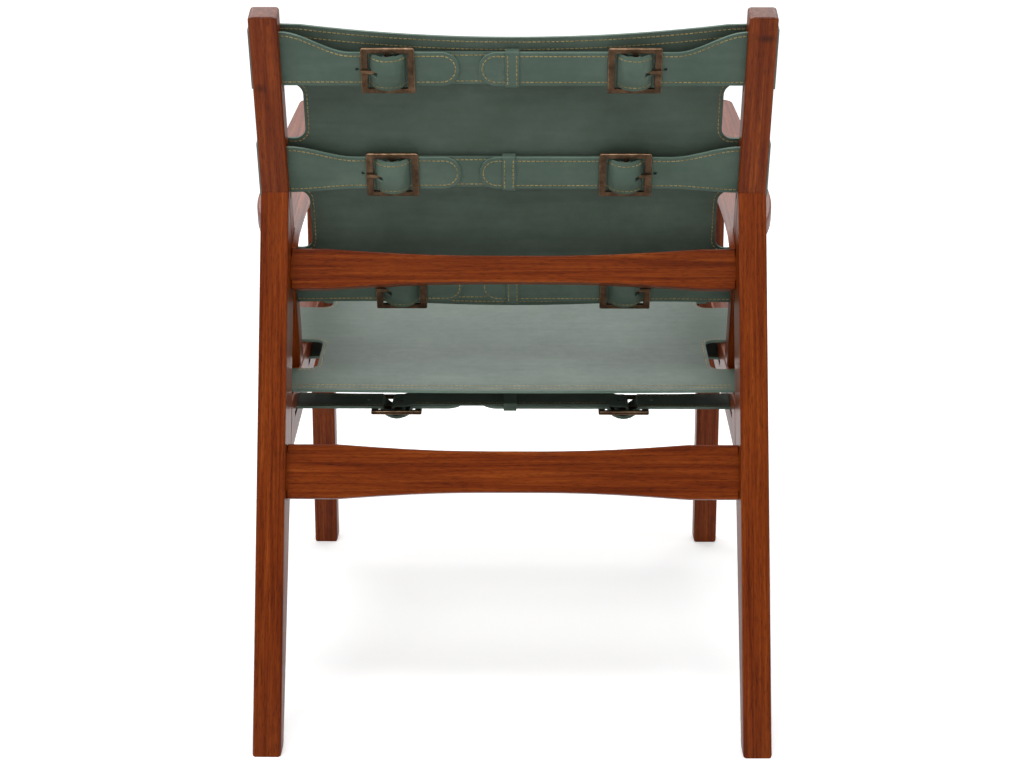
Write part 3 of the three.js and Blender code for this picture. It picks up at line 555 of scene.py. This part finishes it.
def stations_of(sling, sign):
    slot = sling["slot"]
    notch = INNER - NOTCH_INSET
    made = []

    def add(x, y, corner=0.0, narrow=0.0, drawn=0.0, nose=1.0, beyond=True, hole=None, centre=None):
        made.append({"x": x, "y": y, "corner": corner, "narrow": narrow, "drawn": drawn, "nose": nose,
                     "beyond": beyond, "hole": hole, "centre": centre, "sign": sign})

    for x in steps(0, notch, 14):
        add(x, bow_of(sling, x), corner=NOTCH_RADIUS, beyond=x == notch)
    for part in CORNER_PARTS:
        d = NOTCH_RADIUS * part
        rise = math.sqrt(NOTCH_RADIUS ** 2 - (NOTCH_RADIUS - d) ** 2)
        add(notch + d, bow_of(sling, notch + d), corner=NOTCH_RADIUS - rise)
    add(INNER, bow_of(sling, INNER))
    wrap = ARRIS + FIT + HIDE / 2
    for angle in steps(0, math.pi / 2, 6):
        add(OUTER - ARRIS + wrap * math.sin(angle), ARRIS - wrap * math.cos(angle))
    turn = OUTER + FIT + HIDE / 2 - TURN_RADIUS
    for angle in steps(0, math.pi / 2, 6):
        add(turn + TURN_RADIUS * math.cos(angle), slot - TURN_RADIUS + TURN_RADIUS * math.sin(angle),
            drawn=0.5 * angle / math.pi * 2)
    for narrow in steps(0, 1, 12):
        add(INNER - narrow * STRAP_TAPER, slot, narrow=narrow, drawn=1)
    add(HOLE_PLACE + HOLE_RADIUS + HOLE_MARGIN, slot, narrow=1, drawn=1, centre=True)
    for angle in steps(0, math.pi, 8):
        add(HOLE_PLACE + HOLE_RADIUS * math.cos(angle), slot, narrow=1, drawn=1, centre=True,
            hole=max(HOLE_RADIUS * math.sin(angle), NARROWEST_HOLE))
    add(HOLE_PLACE - HOLE_RADIUS - HOLE_MARGIN, slot, narrow=1, drawn=1, centre=True)
    inner_flank = [-HUMP_FOOT * math.sin(a) for a in steps(0, math.pi / 2, 12)]
    outer_flank = [HUMP_REACH, HUMP_FOOT, FLANK_START] + steps(SLOT_FAR, SLOT_NEAR, 9)
    outer_flank += steps(CROWN_FROM, CROWN_TO, 3)
    for d in outer_flank + inner_flank:
        in_slot = SLOT_NEAR - 0.01 <= d <= SLOT_FAR + 0.01
        add(d, slot, narrow=1, drawn=1, hole=PRONG_SLOT / 2 if in_slot else None, centre=True)
    add(-HUMP_REACH, slot, narrow=1, drawn=1, centre=True)
    tip = SHORT_TIP if sign > 0 else LONG_TIP
    for part in TIP_PARTS:
        add(tip + HALF * part, slot, narrow=1, drawn=1, nose=math.sqrt(1 - (1 - part) ** 2))
    return made


# %% Rows across a tab
ROWS_A_SIDE = 5
GAP_ROWS = 8


def edges_of(sling, index, station):
    tab = list(sling["tabs"])[index]
    low, high, strap = sling["tabs"][tab]
    last = len(sling["tabs"]) - 1
    part = min(station["x"] / (INNER - NOTCH_INSET), 1) if station["drawn"] == 0 else 1
    middle = 1 - part ** 2
    low -= station["corner"] if index > 0 else sling["droop"] * middle
    high += station["corner"] if index < last else -sling["dip"] * middle
    ease = station["narrow"] ** 2 * (3 - 2 * station["narrow"])
    half = HALF * station["nose"]
    low_done, high_done = [1 - (1 - d * station["drawn"]) * (1 - ease) for d in sling["drawn_in"][tab]]
    return low + (strap - half - low) * low_done, high + (strap + half - high) * high_done, strap


def place_x(sling, tab, station):
    if not station["centre"]:
        return station["sign"] * station["x"]
    return sling["bars"][tab][0 if station["sign"] > 0 else 1] + station["sign"] * station["x"]


def place_y(station, across):
    return station["y"] + (hump(station["x"], across) if station["centre"] else 0)


def rows_of(sling, station):
    rows = []
    names = list(sling["tabs"])
    spans = [edges_of(sling, k, station) for k in range(len(names))]
    for k, tab in enumerate(names):
        low, high, strap = spans[k]
        x = place_x(sling, tab, station)
        hole = station["hole"] or min(PRONG_SLOT / 2, HALF * station["nose"] * 0.3)
        own = [(z, "tab") for z in steps(low, strap - hole, ROWS_A_SIDE)[:-1]]
        own += [(strap - hole, "hole")]
        own += [(z, "tab") for z in steps(strap + hole, high, ROWS_A_SIDE)[:-1]]
        if k + 1 < len(names):
            own += [(z, "gap") for z in steps(high, spans[k + 1][0], GAP_ROWS)[:-1]]
        else:
            own += [(high, "end")]
        rows += [(x, place_y(station, z - strap), z, kind) for z, kind in own]
    return rows


# %% [markdown]
# ### From stations to a sheet
# The rows of all stations form one grid. Cells of a notch or of a prong's slot are left out, and the
# sheet is given the hide's thickness, with the flesh side and the cut edge as materials of their own.

# %% Sheet builder
HIDE_EDGE, HIDE_ANGLE = 0.7, 60


def sheet_from_grid(name, grid, is_open, thickness, materials):
    made = bpy.data.meshes.new(name)
    index, points, faces = {}, [], []

    def vertex(i, j):
        if (i, j) not in index:
            index[(i, j)] = len(points)
            points.append(grid[i][j])
        return index[(i, j)]

    for i in range(len(grid) - 1):
        for j in range(len(grid[0]) - 1):
            if not is_open(i, j):
                corners = ((i, j), (i + 1, j), (i + 1, j + 1), (i, j + 1))
                faces.append(tuple(vertex(*corner) for corner in corners))
    made.from_pydata(points, [], faces)
    for material in materials:
        made.materials.append(material)
    made.polygons.foreach_set("use_smooth", [True] * len(made.polygons))
    piece = bpy.data.objects.new(name, made)
    bpy.context.scene.collection.objects.link(piece)
    solid = piece.modifiers.new("thickness", "SOLIDIFY")
    solid.thickness = thickness * MM
    solid.offset = 0
    solid.use_even_offset = True
    solid.material_offset = min(1, len(materials) - 1)
    solid.material_offset_rim = len(materials) - 1
    soften(piece, HIDE_EDGE, 2, HIDE_ANGLE)
    return piece, sum(p.area for p in made.polygons)


# %% Make the slings
def make_sling(name, sling):
    left, right = stations_of(sling, 1), stations_of(sling, -1)
    stations = right[:0:-1] + left
    rows = [rows_of(sling, s) for s in stations]
    grid = [[world(sling, x, y, z) for x, y, z, _ in row] for row in rows]
    kinds = [kind for _, _, _, kind in rows[0]]

    def is_open(i, j):
        a, b = stations[i], stations[i + 1]
        if kinds[j] == "gap":
            return a["beyond"] and b["beyond"]
        return kinds[j] == "hole" and a["hole"] is not None and b["hole"] is not None

    # The sling's cut edge takes the paler green, a painted highlight.
    return sheet_from_grid(name + "_hide", grid, is_open, HIDE, [hide_grain, hide_flesh, hide_edge_painted_highlight])


for name, sling in SLINGS.items():
    piece, area = make_sling(name, sling)
    stand_for(piece, name + "_sling")
    sling["area"] = area
    print(name, "hide:", len(piece.data.polygons), "cells,", round(area, 4), "m2")

# %% [markdown]
# ## Stitches
# The edges are sewn with tan thread in stitches of about 4.6 mm. Each stitch is a short capsule, more
# than half sunk in the leather, so that a keeper still slides over it. A line of stitches is walked
# along a list of points, each with the leather's outward direction there.

# %% Stitch maker
STITCH_LENGTH, STITCH_PITCH, THREAD_RADIUS, STITCH_SUNK = 4.6, 5.2, 0.92, 0.6
EDGE_INSET, STITCH_ENDS, THREAD_SIDES = 4, 0.8, 5


class Stitching:
    def __init__(self):
        self.points, self.faces, self.count = [], [], 0

    def stitch(self, middle, along, out):
        side = along.cross(out).normalized()
        base = len(self.points)
        half, r = STITCH_LENGTH / 2 * MM, THREAD_RADIUS * MM
        self.points.append(middle - along * half - out * r)
        for place in (-STITCH_ENDS, STITCH_ENDS):
            for k in range(THREAD_SIDES):
                angle = 2 * math.pi * k / THREAD_SIDES
                ring = side * math.cos(angle) + out * math.sin(angle)
                self.points.append(middle + along * (half * place) + ring * r)
        self.points.append(middle + along * half - out * r)
        near, far, last = base + 1, base + 1 + THREAD_SIDES, base + 1 + 2 * THREAD_SIDES
        for k in range(THREAD_SIDES):
            n = (k + 1) % THREAD_SIDES
            self.faces += [(near + k, near + n, far + n, far + k), (base, near + n, near + k),
                           (last, far + k, far + n)]
        self.count += 1

    def line(self, points, outs):
        travelled, target = 0.0, STITCH_PITCH / 2 * MM
        for p, q, out_p, out_q in zip(points, points[1:], outs, outs[1:]):
            length = (q - p).length
            while length > 0 and travelled + length >= target:
                part = (target - travelled) / length
                out = out_p.lerp(out_q, part).normalized()
                along = (q - p).normalized()
                self.stitch(p.lerp(q, part), (along - out * along.dot(out)).normalized(), out)
                target += STITCH_PITCH * MM
            travelled += length

    def make(self, name):
        mesh = bpy.data.meshes.new(name)
        mesh.from_pydata(self.points, [], self.faces)
        mesh.polygons.foreach_set("use_smooth", [True] * len(mesh.polygons))
        mesh.materials.append(thread)
        piece = bpy.data.objects.new(name, mesh)
        bpy.context.scene.collection.objects.link(piece)
        return piece


# %% [markdown]
# ### Where the slings are sewn
# Each billet is sewn along both edges and round its tip. The panel has two rows along its free edges
# and one along each notch, and those show on both faces.

# %% Rows of stitches on a sling
def tab_track(sling, index, sign):
    tab = list(sling["tabs"])[index]
    track = []
    for station in stations_of(sling, sign):
        low, high, strap = edges_of(sling, index, station)
        track.append((place_x(sling, tab, station), low, high, strap, station))
    return track


def sew(stitching, sling, path, side_sign, thickness):
    b = sling["axes"][1]
    outs, points = [], []
    lift = thickness / 2 - THREAD_RADIUS * STITCH_SUNK
    for i, (x, y, z) in enumerate(path):
        before, after = path[max(i - 1, 0)], path[min(i + 1, len(path) - 1)]
        dx, dy = after[0] - before[0], after[1] - before[1]
        size = math.hypot(dx, dy)
        out = Vector((0, side_sign)) if size < 1e-6 else Vector((dy, -dx)) / size * side_sign
        points.append(world(sling, x + out.x * lift, y + out.y * lift, z))
        outs.append(Vector((out.x, 0, 0)) + b * out.y)
    stitching.line(points, outs)


def sew_flat(stitching, sling, path, out, thickness):
    b = sling["axes"][1]
    lift = (thickness / 2 - THREAD_RADIUS * STITCH_SUNK) * out
    stitching.line([world(sling, x, y + lift, z) for x, y, z in path], [b * out] * len(path))


# %% Rows along the billets
def sew_billets(stitching, sling):
    for index in range(len(sling["tabs"])):
        for sign in (1, -1):
            track = tab_track(sling, index, sign)
            strap = track[-1][3]
            start = next(i for i, t in enumerate(track) if t[4]["narrow"] > 0) - 1
            body = [t for t in track[start:] if t[4]["nose"] == 1]
            tip = (SHORT_TIP if sign > 0 else LONG_TIP) + HALF
            radius = HALF - EDGE_INSET
            for edge in (0, 1):
                rows = [(x, low + EDGE_INSET if edge == 0 else high - EDGE_INSET, station)
                        for x, low, high, _, station in body]
                path = [(x, place_y(station, z - strap), z) for x, z, station in rows]
                sew(stitching, sling, path, -sign, HIDE)
                quarter = steps(-math.pi / 2 if edge == 0 else math.pi / 2, 0, 12)[1:]
                arc = [(sign * (tip - radius * math.cos(a)), sling["slot"], strap + radius * math.sin(a))
                       for a in quarter]
                sew(stitching, sling, path + arc, sign, HIDE)


# %% Rows along the panels
def sew_panel(stitching, sling):
    notch = INNER - NOTCH_INSET
    tabs = list(sling["tabs"].values())
    for out in (1, -1):
        for inset in sling["hems"]:
            top, bottom = [], []
            for x in steps(-INNER, INNER, 60):
                middle = max(0, 1 - (x / notch) ** 2)
                top.append((x, bow_of(sling, x), tabs[-1][1] - inset - sling["dip"] * middle))
                bottom.append((x, bow_of(sling, x), tabs[0][0] + inset - sling["droop"] * middle))
            sew_flat(stitching, sling, top, out, HIDE)
            sew_flat(stitching, sling, bottom, out, HIDE)
        for (_, hi, _), (lo, _, _) in zip(tabs, tabs[1:]):
            for sign in (1, -1):
                r, far = NOTCH_RADIUS, NOTCH_RADIUS + EDGE_INSET
                turn = steps(0, math.pi / 2, 8)
                path = [(INNER, hi - EDGE_INSET), (notch + r, hi - EDGE_INSET)]
                path += [(notch + r - far * math.sin(a), hi + r - far * math.cos(a)) for a in turn]
                path += [(notch + r - far * math.cos(a), lo - r + far * math.sin(a)) for a in turn]
                path += [(INNER, lo + EDGE_INSET)]
                row = [(sign * x, bow_of(sling, x), z) for x, z in path]
                sew_flat(stitching, sling, row, out, HIDE)


# %% [markdown]
# ### Sewing
# A flat hide has to be long enough for the panel, the turn round each member and the billets, and
# that is how a maker would cut it. Each sling's area is printed where its sheet is made; here its
# stitches are sewn and counted.

# %% Sew the slings
for name, sling in SLINGS.items():
    stitching = Stitching()
    sew_billets(stitching, sling)
    sew_panel(stitching, sling)
    sewn = stitching.make(name + "_stitches")
    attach(sewn, "chair")
    print(name, "stitches:", stitching.count)

# %% [markdown]
# ## Centre straps
# A centre strap joins the two buckles of each pair. It lies under both billets and folds round each
# centre bar, where its slot lets the prong through. It is the same hide, skived a little thinner, and
# trimmed a little narrower at the folds.

# %% Make the centre straps
LOOP_RADIUS, FOLD_NARROWED, FOLD_LENGTH, STRAP_ROWS = 5, 0.93, 56, 4
FOLD_TAIL = ((0.8, 0.64), (1.6, -0.2), (2, -0.56))


def fold_stops():
    low = BAR_LEVEL - LOOP_RADIUS
    stops = [(-HUMP_REACH, STRAP_LEVEL, False), (-17, STRAP_LEVEL + 0.35 * (low - STRAP_LEVEL), False),
             (-2.8 * LOOP_RADIUS, (STRAP_LEVEL + low) / 2, False), (-2 * LOOP_RADIUS, low - 0.35, False),
             (-1.4 * LOOP_RADIUS, low, True)]
    for angle in steps(-math.pi / 2, math.pi / 2, 10):
        stops.append((LOOP_RADIUS * math.cos(angle), BAR_LEVEL + LOOP_RADIUS * math.sin(angle), True))
    for i, (inwards, above) in enumerate(FOLD_TAIL):
        stops.append((-inwards * LOOP_RADIUS, BAR_LEVEL + above * LOOP_RADIUS, i < len(FOLD_TAIL) - 1))
    return stops


def strap_path(bars):
    left = [(bars[0] + d, y, open_) for d, y, open_ in fold_stops()]
    right = [(bars[1] - d, y, open_) for d, y, open_ in fold_stops()]
    between = steps(bars[1] + HUMP_REACH, bars[0] - HUMP_REACH, 12)[1:-1]
    return right[::-1] + [(x, STRAP_LEVEL, False) for x in between] + left


def make_strap(label, sling, tab):
    strap, bars = sling["tabs"][tab][2], sling["bars"][tab]
    path = strap_path(bars)
    rows = steps(-HALF, -PRONG_SLOT / 2, STRAP_ROWS) + steps(PRONG_SLOT / 2, HALF, STRAP_ROWS)
    grid = []
    for x, y, open_ in path:
        width = FOLD_NARROWED if open_ else 1
        grid.append([world(sling, x, sling["slot"] + y, strap + z * width) for z in rows])

    def is_slot(i, j):
        return j == STRAP_ROWS and path[i][2] and path[i + 1][2]

    return sheet_from_grid(label + "_strap_hide", grid, is_slot, STRAP_HIDE,
                           [hide_flesh, hide_grain, hide_flesh])


for name, sling in SLINGS.items():
    for tab in sling["tabs"]:
        label = f"{name}_{tab}"
        strap_piece, area = make_strap(label, sling, tab)
        stand_for(strap_piece, label + "_strap")
        bars = sling["bars"][tab]
        stitching = Stitching()
        for edge in (-1, 1):
            z = sling["tabs"][tab][2] + edge * (HALF - EDGE_INSET)
            row = [(x, sling["slot"] + STRAP_LEVEL, z)
                   for x in steps(bars[1] + HUMP_REACH, bars[0] - HUMP_REACH, 20)]
            sew_flat(stitching, sling, row, 1, STRAP_HIDE)
            sew_flat(stitching, sling, row, -1, STRAP_HIDE)
        sewn = stitching.make(label + "_strap_stitches")
        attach(sewn, "chair")
        print(label, "strap", round(area * 1e4), "cm2,", stitching.count, "stitches")

# %% [markdown]
# ## Keepers
# A keeper is a narrow loop of leather that holds the long billet flat on the centre strap. It is a
# band bent into a flat ring with rounded corners, sewn with a row of thread near each edge.

# %% Make the keepers
KEEPER_LENGTH, KEEPER_SPARE, KEEPER_CORNER, KEEPER_SEAM = 15, 0.4, 1.6, 2.6
KEEPER_FLAT, RING_WELD = 100, 0.01


def ring_points(low, high, half, corner, per_corner):
    made = []
    top, bottom, side = high - corner, low + corner, half - corner
    centres = [(top, side), (bottom, side), (bottom, -side), (top, -side)]
    for start, (centre_y, centre_z) in enumerate(centres):
        for angle in steps(start * math.pi / 2, (start + 1) * math.pi / 2, per_corner):
            made.append((centre_y + corner * math.cos(angle), centre_z + corner * math.sin(angle)))
    return made


def make_keeper(label, sling, tab, middle):
    grow = KEEPER_SPARE + KEEPER_HIDE / 2
    low, high = STRAP_LEVEL - STRAP_HIDE / 2 - grow, HIDE / 2 + grow
    ring = ring_points(low, high, HALF + grow, KEEPER_CORNER, 5)
    ring.append(ring[0])
    strap = sling["tabs"][tab][2]
    rows = steps(middle - KEEPER_LENGTH / 2, middle + KEEPER_LENGTH / 2, 6)
    grid = [[world(sling, x, sling["slot"] + y, strap + z) for y, z in ring] for x in rows]
    # The keeper's cut edge takes the same paler green, a painted highlight.
    piece, _ = sheet_from_grid(label + "_keeper_hide", grid, lambda i, j: False, KEEPER_HIDE,
                               [hide_flesh, hide_grain, hide_edge_painted_highlight])
    weld = piece.modifiers.new("closed_ring", "WELD")
    weld.merge_threshold = RING_WELD * MM
    piece.modifiers.move(len(piece.modifiers) - 1, 0)
    return piece, high


for name, sling in SLINGS.items():
    for tab in sling["tabs"]:
        label = f"{name}_{tab}"
        low_corner, high_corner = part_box(label + "_keeper")
        middle = (low_corner.x + high_corner.x) / 2 / MM
        keeper, high = make_keeper(label, sling, tab, middle)
        stand_for(keeper, label + "_keeper")
        stitching = Stitching()
        for side in (-1, 1):
            x, strap = middle + side * (KEEPER_LENGTH / 2 - KEEPER_SEAM), sling["tabs"][tab][2]
            column = [(x, sling["slot"] + high, strap + z) for z in steps(-HALF + 1, HALF - 1, 12)]
            sew_flat(stitching, sling, column, 1, KEEPER_HIDE)
        sewn = stitching.make(label + "_keeper_stitches")
        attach(sewn, label + "_keeper")
print("keepers made")

# %% [markdown]
# ## Buckles and prongs
# Copies of the imported frames and prongs get worn, rounded edges and the antique bronze. On a frame the
# outer corners are filed squarer and the window a little wider, as on a cast buckle that has been
# cleaned up by hand, and the slanted faces along its edges are coloured light: partly rubbed wear,
# partly a painted highlight where they catch the light. Every prong keeps its own body, so it still
# lifts off its bar.

# %% Dress the metal
CORNER_X, CORNER_Z, CORNER_SHRINK = 24.5, 22, 3
WINDOW_X, WINDOW_Z, WIDER_X, WIDER_Z, NEARLY = 20, 20.5, 1.8, 0.8, 0.1
SLANTED = (0.4, 0.9)
BUCKLE_EDGE, PRONG_EDGE, METAL_ANGLE = 0.9, 0.5, 35


def wear_buckle(piece, sling, bar, strap):
    origin, b, c = sling["axes"]
    for vertex in piece.data.vertices:
        p = vertex.co / MM
        dx, dz = p.x - bar, (p - origin).dot(c) - strap
        out_x, out_z = abs(dx) - CORNER_X, abs(dz) - CORNER_Z
        radius = math.hypot(out_x, out_z)
        if min(out_x, out_z) > -0.05 and radius > CORNER_SHRINK + 0.5:
            part = (radius - CORNER_SHRINK) / radius - 1
            vertex.co.x += math.copysign(CORNER_SHRINK + out_x * part, dx) * MM
            vertex.co += c * math.copysign(CORNER_SHRINK + out_z * part, dz) * MM
        if abs(dx) < WINDOW_X + NEARLY and abs(dz) < WINDOW_Z + NEARLY:
            if abs(dx) > WINDOW_X - NEARLY:
                vertex.co.x += math.copysign(WIDER_X, dx) * MM
            if abs(dz) > WINDOW_Z - NEARLY:
                vertex.co += c * math.copysign(WIDER_Z, dz) * MM
    piece.data.update()
    # Slanted edge faces get the light bronze, partly rubbed wear and partly a painted highlight.
    for face in piece.data.polygons:
        face.material_index = 1 if SLANTED[0] < abs(face.normal.dot(b)) < SLANTED[1] else 0


metal = [n for n in frame["nodes"] if "_buckle_" in n or "_prong_" in n]
for name in metal:
    piece = copy_of(name)
    sling_name, tab, kind, side = name.split("_")
    if kind == "buckle":
        sling = SLINGS[sling_name]
        bar = sling["bars"][tab][0 if side == "left" else 1]
        piece.data.materials.append(bronze)
        piece.data.materials.append(rubbed_and_highlit)
        wear_buckle(piece, sling, bar, sling["tabs"][tab][2])
    else:
        piece.data.materials.append(worn)
    soften(piece, BUCKLE_EDGE if kind == "buckle" else PRONG_EDGE, 2, METAL_ANGLE)
    stand_for(piece, name)
print("metal pieces:", len(metal))

# %% [markdown]
# ## Floor and light
# The floor and the surroundings are white. Two large soft lamps overhead, one before and one behind the
# chair, light the seat, the tops and the back. Weak ones at the sides and low behind draw the edges and
# fill the legs. The floor glows a little to the camera, less near the chair, so that it looks white and
# still keeps the chair's shadow; in reflections it glows only faintly, so that the lacquer stays deep.

# %% Surroundings
WORLD_LIGHT, REAR_GLOSS = 0.36, 0.12
world_shader = bpy.data.worlds.new("white_studio")
bpy.context.scene.world = world_shader
world_shader.use_nodes = True
tree = world_shader.node_tree
path = node(tree, "ShaderNodeLightPath").outputs
way = node(tree, "ShaderNodeTexCoord").outputs["Generated"]
looking = node(tree, "ShaderNodeSeparateXYZ", i0=way).outputs
gloss = node(tree, "ShaderNodeMapRange", Value=looking["Y"], i1=-0.2, i2=0.4, i3=1.0,
             i4=REAR_GLOSS).outputs[0]
lit = node(tree, "ShaderNodeMix", {"data_type": "FLOAT"}, i0=path["Is Glossy Ray"], i2=WORLD_LIGHT,
           i3=gloss).outputs[0]
clear = node(tree, "ShaderNodeMath", {"operation": "MAXIMUM"}, i0=path["Is Camera Ray"],
             i1=path["Is Transmission Ray"]).outputs[0]
strength = node(tree, "ShaderNodeMix", {"data_type": "FLOAT"}, i0=clear, i2=lit, i3=1.0).outputs[0]
tree.links.new(strength, tree.nodes["Background"].inputs["Strength"])
tree.nodes["Background"].inputs["Color"].default_value = (1, 1, 1, 1)
print("made", world_shader.name)

# %% Floor
# NEAR and FAR are metres from the chair; the lifts are the glow there.
NEAR, FAR, NEAR_LIFT, FAR_LIFT, GLOSSY_LIFT = 1, 5, 0.42, 0.85, 0.1
FLOOR_HALF = 20


def floor_glow(tree):
    away = node(tree, "ShaderNodeVectorMath", {"operation": "LENGTH"},
                i0=node(tree, "ShaderNodeTexCoord").outputs["Object"]).outputs["Value"]
    lift = node(tree, "ShaderNodeMapRange", Value=away, i1=NEAR, i2=FAR, i3=NEAR_LIFT,
                i4=FAR_LIFT).outputs[0]
    path = node(tree, "ShaderNodeLightPath").outputs
    clear = node(tree, "ShaderNodeMath", {"operation": "MAXIMUM"}, i0=path["Is Camera Ray"],
                 i1=path["Is Transmission Ray"]).outputs[0]
    bright = node(tree, "ShaderNodeMath", {"operation": "MULTIPLY"}, i0=clear, i1=lift).outputs[0]
    glossy = node(tree, "ShaderNodeMath", {"operation": "MULTIPLY"}, i0=path["Is Glossy Ray"],
                  i1=GLOSSY_LIFT).outputs[0]
    return node(tree, "ShaderNodeMath", {"operation": "ADD"}, i0=bright, i1=glossy).outputs[0]


floor_mesh = bpy.data.meshes.new("floor")
corners = [(-FLOOR_HALF, -FLOOR_HALF, 0), (FLOOR_HALF, -FLOOR_HALF, 0), (FLOOR_HALF, FLOOR_HALF, 0),
           (-FLOOR_HALF, FLOOR_HALF, 0)]
floor_mesh.from_pydata(corners, [], [(0, 1, 2, 3)])
floor = bpy.data.objects.new("floor", floor_mesh)
bpy.context.scene.collection.objects.link(floor)
white, tree, shader = new_material("white_floor")
shader.inputs["Base Color"].default_value = linear("#F4F4F4")
shader.inputs["Roughness"].default_value = 0.9
shader.inputs["Specular IOR Level"].default_value = 0.1
shader.inputs["Emission Color"].default_value = (1, 1, 1, 1)
tree.links.new(floor_glow(tree), shader.inputs["Emission Strength"])
floor_mesh.materials.append(white)
floor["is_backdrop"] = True
print("floor:", 2 * FLOOR_HALF, "m wide")

# %% Lamps
AIM = Vector((0, 0, 0.4))
# Each lamp: its place and size in metres, and its power in watts.
LAMPS = {"above_front": ((0.0, -2.0, 2.6), (3.0, 1.8), 48),
         "above_rear": ((0.3, 1.9, 3.2), (2.4, 1.4), 66),
         "left_side": ((2.6, 0.6, 1.2), (0.8, 1.8), 5),
         "right_side": ((-2.6, 0.6, 1.2), (0.8, 1.8), 5),
         "low_rear": ((0.0, 2.9, 0.35), (2.0, 0.5), 5)}
for name, (place, size, power) in LAMPS.items():
    lamp = bpy.data.lights.new(name, "AREA")
    lamp.shape = "RECTANGLE"
    lamp.size, lamp.size_y = size
    lamp.energy = power
    holder = bpy.data.objects.new(name, lamp)
    holder.location = place
    holder.rotation_mode = "QUATERNION"
    holder.rotation_quaternion = (AIM - Vector(place)).to_track_quat("-Z", "Y")
    bpy.context.scene.collection.objects.link(holder)
print("lamps:", len(LAMPS))

# %% [markdown]
# ## Sizes
# The box round the dressed chair is measured. The dressed chair has to stay inside the imported
# model's box.

# %% Measure the box
low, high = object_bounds()
